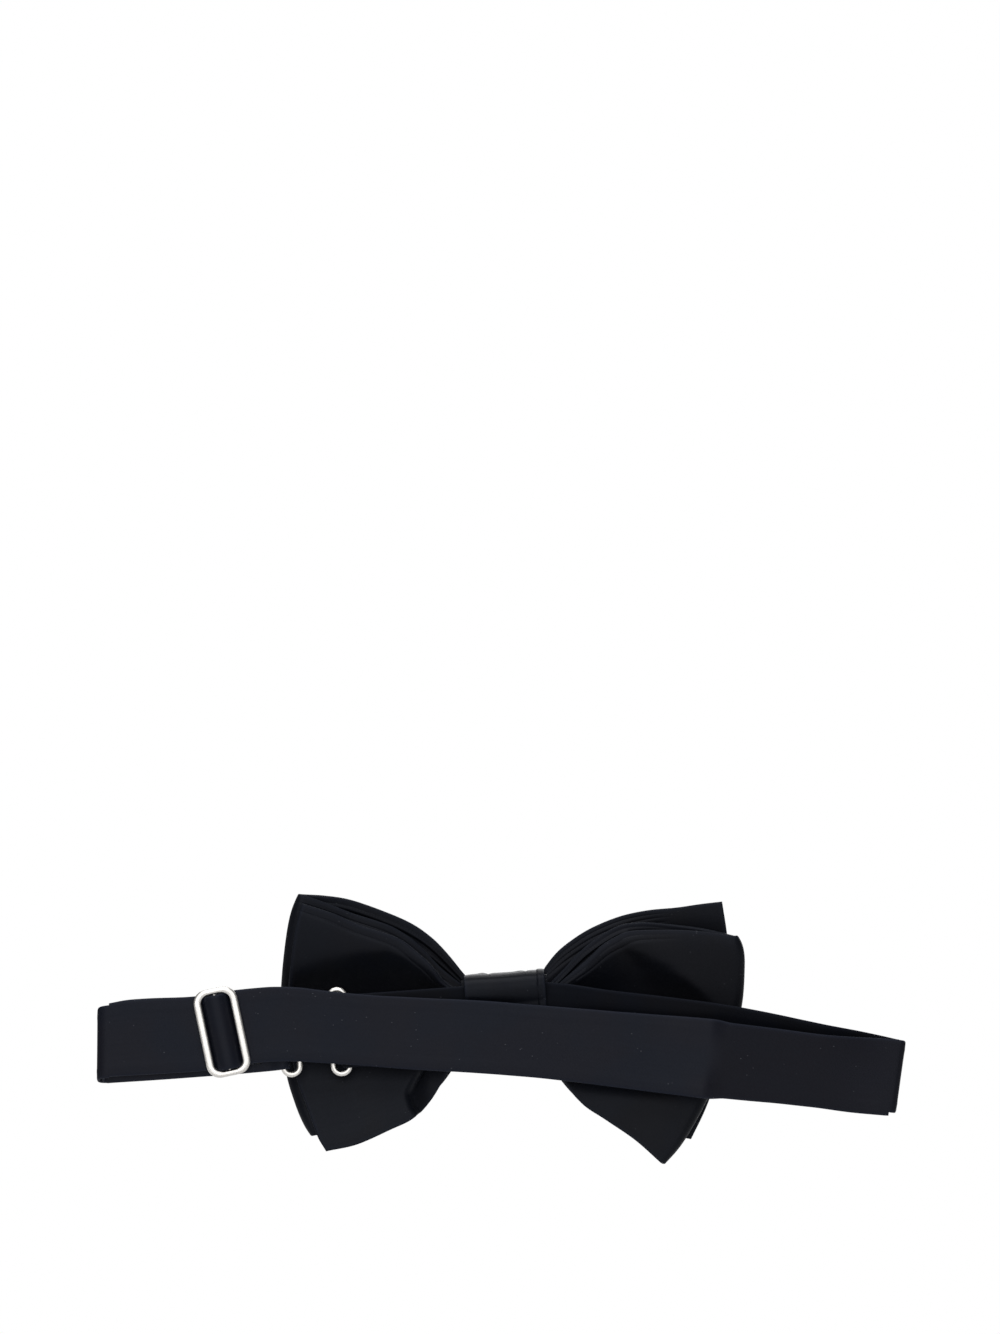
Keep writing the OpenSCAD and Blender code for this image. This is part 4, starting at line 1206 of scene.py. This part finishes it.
class BOWTIE_OT_band_end(bpy.types.Operator):
    """Makes the left fold and the band's end that holds the eye"""
    bl_idname = "bowtie.band_end"
    bl_label = "Band end"

    def execute(self, context):
        scene, s = context.scene, context.scene.bow_tie_sizes
        wide, thick = s.band_width / MM, s.band_thickness / MM
        reach = (LEFT_FOLD[0] - EYE_BAR[0]) / np.cos(np.radians(END_SLOPE)) - 0.3
        line = wrapped_line(reach, reach, clasp_loop_radius(s)) * np.array([-1, 1, 1])
        place = (EYE_BAR[0], FIT_Y, EYE_BAR[1])
        c = turned(line, END_SLOPE, place)
        c[:, 2] -= BACK_DROP * np.sqrt(np.clip((c[:, 0] - EYE_BAR[0]) / (LEFT_FOLD[0] - EYE_BAR[0]), 0, 1))
        b = Build()
        ribbon(b, c, lean_axis(END_SLOPE), wide, thick, 0.04, 23)
        squared(b)
        end = b.finish("band_end_cloth", band_silk(scene), "band_inner_end")
        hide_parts("band_end")

        b = Build()
        centres = turned(np.array([(7, END_Y - FIT_Y + thick / 2 + 0.12, j * 2.05) for j in range(-4, 5)]),
                         END_SLOPE, place)
        stitches(b, centres, turned((1, 0, 0.15), END_SLOPE), 1.6, 0.2)
        tack = b.finish("band_end_stitches", sewing_thread(scene), "band_inner_end")
        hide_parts("band_end_tack")

        b = Build()
        for radius in (FOLD_R, TAIL_FOLD_R):
            ribbon(b, fold_line(radius, 1, 0.6, LEFT_FOLD, LEFT_LEAN, 1.15, BACK_DROP), lean_axis(LEFT_LEAN),
                   wide - 0.05, thick - 0.03)
        squared(b)
        fold = b.finish("left_fold_cloth", band_silk(scene), None)
        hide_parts("left_fold")
        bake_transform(fold)
        return {"FINISHED"}


class BOWTIE_OT_slider(bpy.types.Operator):
    """Makes the slider's frame and the band that crosses its middle bar"""
    bl_idname = "bowtie.slider"
    bl_label = "Slider"

    def execute(self, context):
        scene, s = context.scene, context.scene.bow_tie_sizes
        lean = 12.0
        w, h, thick = s.slider_width / MM, s.slider_height / MM, 1.6
        x = LEFT_FOLD[0] - 31.4
        place = (x, middle("slider")[1], left_stretch(x)[1])
        b = Build()
        p, q = metal_frame(rounded_loop(w, h, 3.8), rounded_loop(w - 4.4, h - 3.2, 2.2), thick)
        b.add(turned(p, lean, place), q)
        p, q = rod((0, 0, -h / 2 + 0.9), (0, 0, h / 2 - 0.9), 0.55)
        b.add(turned(p, lean, place), q)
        slider = b.finish("slider_frame", nickel(scene), "slider")
        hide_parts("slider")

        t = np.linspace(-3.7, 3.7, 61)
        rise = 1.62 * (1 - np.abs(t / 3.7) ** 2.4)
        low = RUN_Y + 0.5 - place[1] + 0.2
        line = np.stack([t, low + (1.6 - low) * rise / 1.62, 0 * t], -1)
        taper = 0.3 + 0.7 * step(np.abs(t), 3.8, 2.2)
        b = Build()
        ribbon(b, turned(line, lean, place), lean_axis(lean), s.band_width / MM + 0.6, 0.7, 0.0, 3, 0.02,
               taper)
        cross = b.finish("crossing_cloth", band_silk(scene), "slider")
        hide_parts("band_crossover")

        a = np.linspace(0, 2 * pi, 40, endpoint=False)[:, None]
        z = np.sin(pi / 2 * np.linspace(-1, 1, 20))[None, :] * 9.7
        p = np.stack([0.88 * np.cos(a) + 0 * z, 0.88 * np.sin(a) + 0 * z, z + 0 * a], -1)
        b = Build()
        cloth_between(b, turned(p, lean, place), 0.19, True, ROLL)
        loop = b.finish("bar_loop_cloth", band_silk(scene), "slider")
        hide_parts("tail_loop")
        return {"FINISHED"}


class BOWTIE_OT_clasp(bpy.types.Operator):
    """Makes the eye and the hook"""
    bl_idname = "bowtie.clasp"
    bl_label = "Clasp"

    def execute(self, context):
        scene, s = context.scene, context.scene.bow_tie_sizes
        w, h, bar, thick = s.ring_width / MM, s.ring_height / MM, 1.5, 1.4
        outer = rounded_loop(w, h, w / 2 - 0.05)
        inner = rounded_loop(w - 2 * bar, h - 2 * bar, w / 2 - bar - 0.05)
        hook_x = HOOK_BAR[0] + w / 2 - bar / 2
        for name, x, z, slope, body in (
                ("eye", EYE_BAR[0] - w / 2 + bar / 2, EYE_BAR[1], END_SLOPE, "eye"),
                ("hook", hook_x, -0.5 - hook_x * np.tan(np.radians(SHORT_SLOPE)), SHORT_SLOPE, "hook")):
            b = Build()
            p, q = metal_frame(outer, inner, thick, 0.7)
            b.add(turned(p, slope, (x, FIT_Y, z)), q)
            if name == "hook":
                tip = 13.5 - w / 2 + bar + 0.35 + 0.4
                points = [(w / 2 - bar / 2, 0.1), (w / 2 - bar / 2, -0.9), (w / 2 - bar / 2 + 0.55, -1.5),
                          (tip / 2, -1.52), (tip - 0.7, -1.5), (tip, -0.95), (tip, 0.25)]
                line = smooth_line(points, 0.25)
                c = np.stack([line[:, 0], line[:, 1], 0 * line[:, 0]], -1)
                ribbon(b, turned(c, slope, (x, FIT_Y, z)), lean_axis(slope), 8, 0.8, 0, 1, 0.0)
            piece = b.finish(name + "_plate", nickel(scene), body)
            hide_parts(name)
        return {"FINISHED"}


class BOWTIE_OT_stage(bpy.types.Operator):
    """Makes the floor, the lights, the white surroundings and the camera"""
    bl_idname = "bowtie.stage"
    bl_label = "Stage"

    def execute(self, context):
        scene, s = context.scene, context.scene.bow_tie_stage
        wide = 0.6
        mesh = bpy.data.meshes.new("floor")
        mesh.from_pydata([(-wide, -wide, s.floor_level), (wide, -wide, s.floor_level),
                          (wide, wide, s.floor_level), (-wide, wide, s.floor_level)], [], [(0, 1, 2, 3)])
        floor = bpy.data.objects.new("floor", mesh)
        scene.collection.objects.link(floor)
        mesh.materials.append(shared("pale_paper", lambda n: paper(n, scene.bow_tie_finish.floor_color)))

        world = bpy.data.worlds.new("white_room")
        world.use_nodes = True
        tree = world.node_tree
        tree.nodes.clear()
        seen, room = tree.nodes.new("ShaderNodeBackground"), tree.nodes.new("ShaderNodeBackground")
        seen.inputs["Color"].default_value = (1, 1, 1, 1)
        seen.inputs["Strength"].default_value = 1.0
        room.inputs["Color"].default_value = (1, 1, 1, 1)
        room.inputs["Strength"].default_value = s.room_light
        path, mix = tree.nodes.new("ShaderNodeLightPath"), tree.nodes.new("ShaderNodeMixShader")
        out = tree.nodes.new("ShaderNodeOutputWorld")
        tree.links.new(path.outputs["Is Camera Ray"], mix.inputs[0])
        tree.links.new(room.outputs[0], mix.inputs[1])
        tree.links.new(seen.outputs[0], mix.inputs[2])
        tree.links.new(mix.outputs[0], out.inputs["Surface"])
        scene.world = world

        for name, place, size, power in (("front_softbox", (0.3, 3.3, 0.7), 2.4, s.front_light),
                                         ("far_softbox", (-0.7, -3.1, 0.8), 2.4, s.far_light),
                                         ("top_softbox", (0.2, 0.5, 1.5), 1.6, s.top_light)):
            light = bpy.data.lights.new(name, "AREA")
            light.shape, light.size, light.energy = "SQUARE", size, power
            lamp = bpy.data.objects.new(name, light)
            lamp.location = place
            away = np.array(place)
            yaw, fall = np.arctan2(away[0], -away[1]), np.arctan2(np.hypot(away[0], away[1]), away[2])
            lamp.rotation_euler = (fall, 0, yaw)
            scene.collection.objects.link(lamp)

        data = bpy.data.cameras.new("camera")
        data.sensor_fit, data.sensor_height, data.sensor_width = "VERTICAL", 36.0, 36.0
        data.lens = 36.0 * s.distance / s.view_height
        data.clip_start, data.clip_end = 0.05, 20.0
        camera = bpy.data.objects.new("camera", data)
        camera.location = (0.0019, s.distance, 0.0962)
        camera.rotation_euler = (pi / 2, 0, pi)
        scene.collection.objects.link(camera)
        scene.camera = camera
        scene.view_settings.view_transform = "Standard"
        return {"FINISHED"}


class BOWTIE_PT_panel(bpy.types.Panel):
    """The bow tie's steps and settings"""
    bl_idname = "BOWTIE_PT_panel"
    bl_label = "Bow tie"
    bl_space_type = "VIEW_3D"
    bl_region_type = "UI"
    bl_category = "Bow tie"

    def draw(self, context):
        for operator in OPERATORS:
            self.layout.operator(operator.bl_idname)
        for group in ("bow_tie_sizes", "bow_tie_finish", "bow_tie_stage"):
            settings = getattr(context.scene, group)
            box = self.layout.box()
            for name in settings.bl_rna.properties.keys():
                if name not in ("rna_type", "name"):
                    box.prop(settings, name)


OPERATORS = (BOWTIE_OT_stage, BOWTIE_OT_left_wing, BOWTIE_OT_right_wing, BOWTIE_OT_knot,
             BOWTIE_OT_inner_bands,
             BOWTIE_OT_outer_band, BOWTIE_OT_band_end, BOWTIE_OT_slider, BOWTIE_OT_clasp)
CLASSES = (BowTieSizes, BowTieFinish, BowTieStage) + OPERATORS + (BOWTIE_PT_panel,)


def register():
    for c in CLASSES:
        bpy.utils.register_class(c)
    bpy.types.Scene.bow_tie_sizes = PointerProperty(type=BowTieSizes)
    bpy.types.Scene.bow_tie_finish = PointerProperty(type=BowTieFinish)
    bpy.types.Scene.bow_tie_stage = PointerProperty(type=BowTieStage)


def unregister():
    del bpy.types.Scene.bow_tie_stage, bpy.types.Scene.bow_tie_finish, bpy.types.Scene.bow_tie_sizes
    for c in reversed(CLASSES):
        bpy.utils.unregister_class(c)


def main():
    register()
    steps = bpy.ops.bowtie
    for make in (steps.stage, steps.left_wing, steps.right_wing, steps.knot, steps.inner_bands,
                 steps.outer_band, steps.band_end, steps.slider, steps.clasp):
        make()


if __name__ == "__main__":
    main()
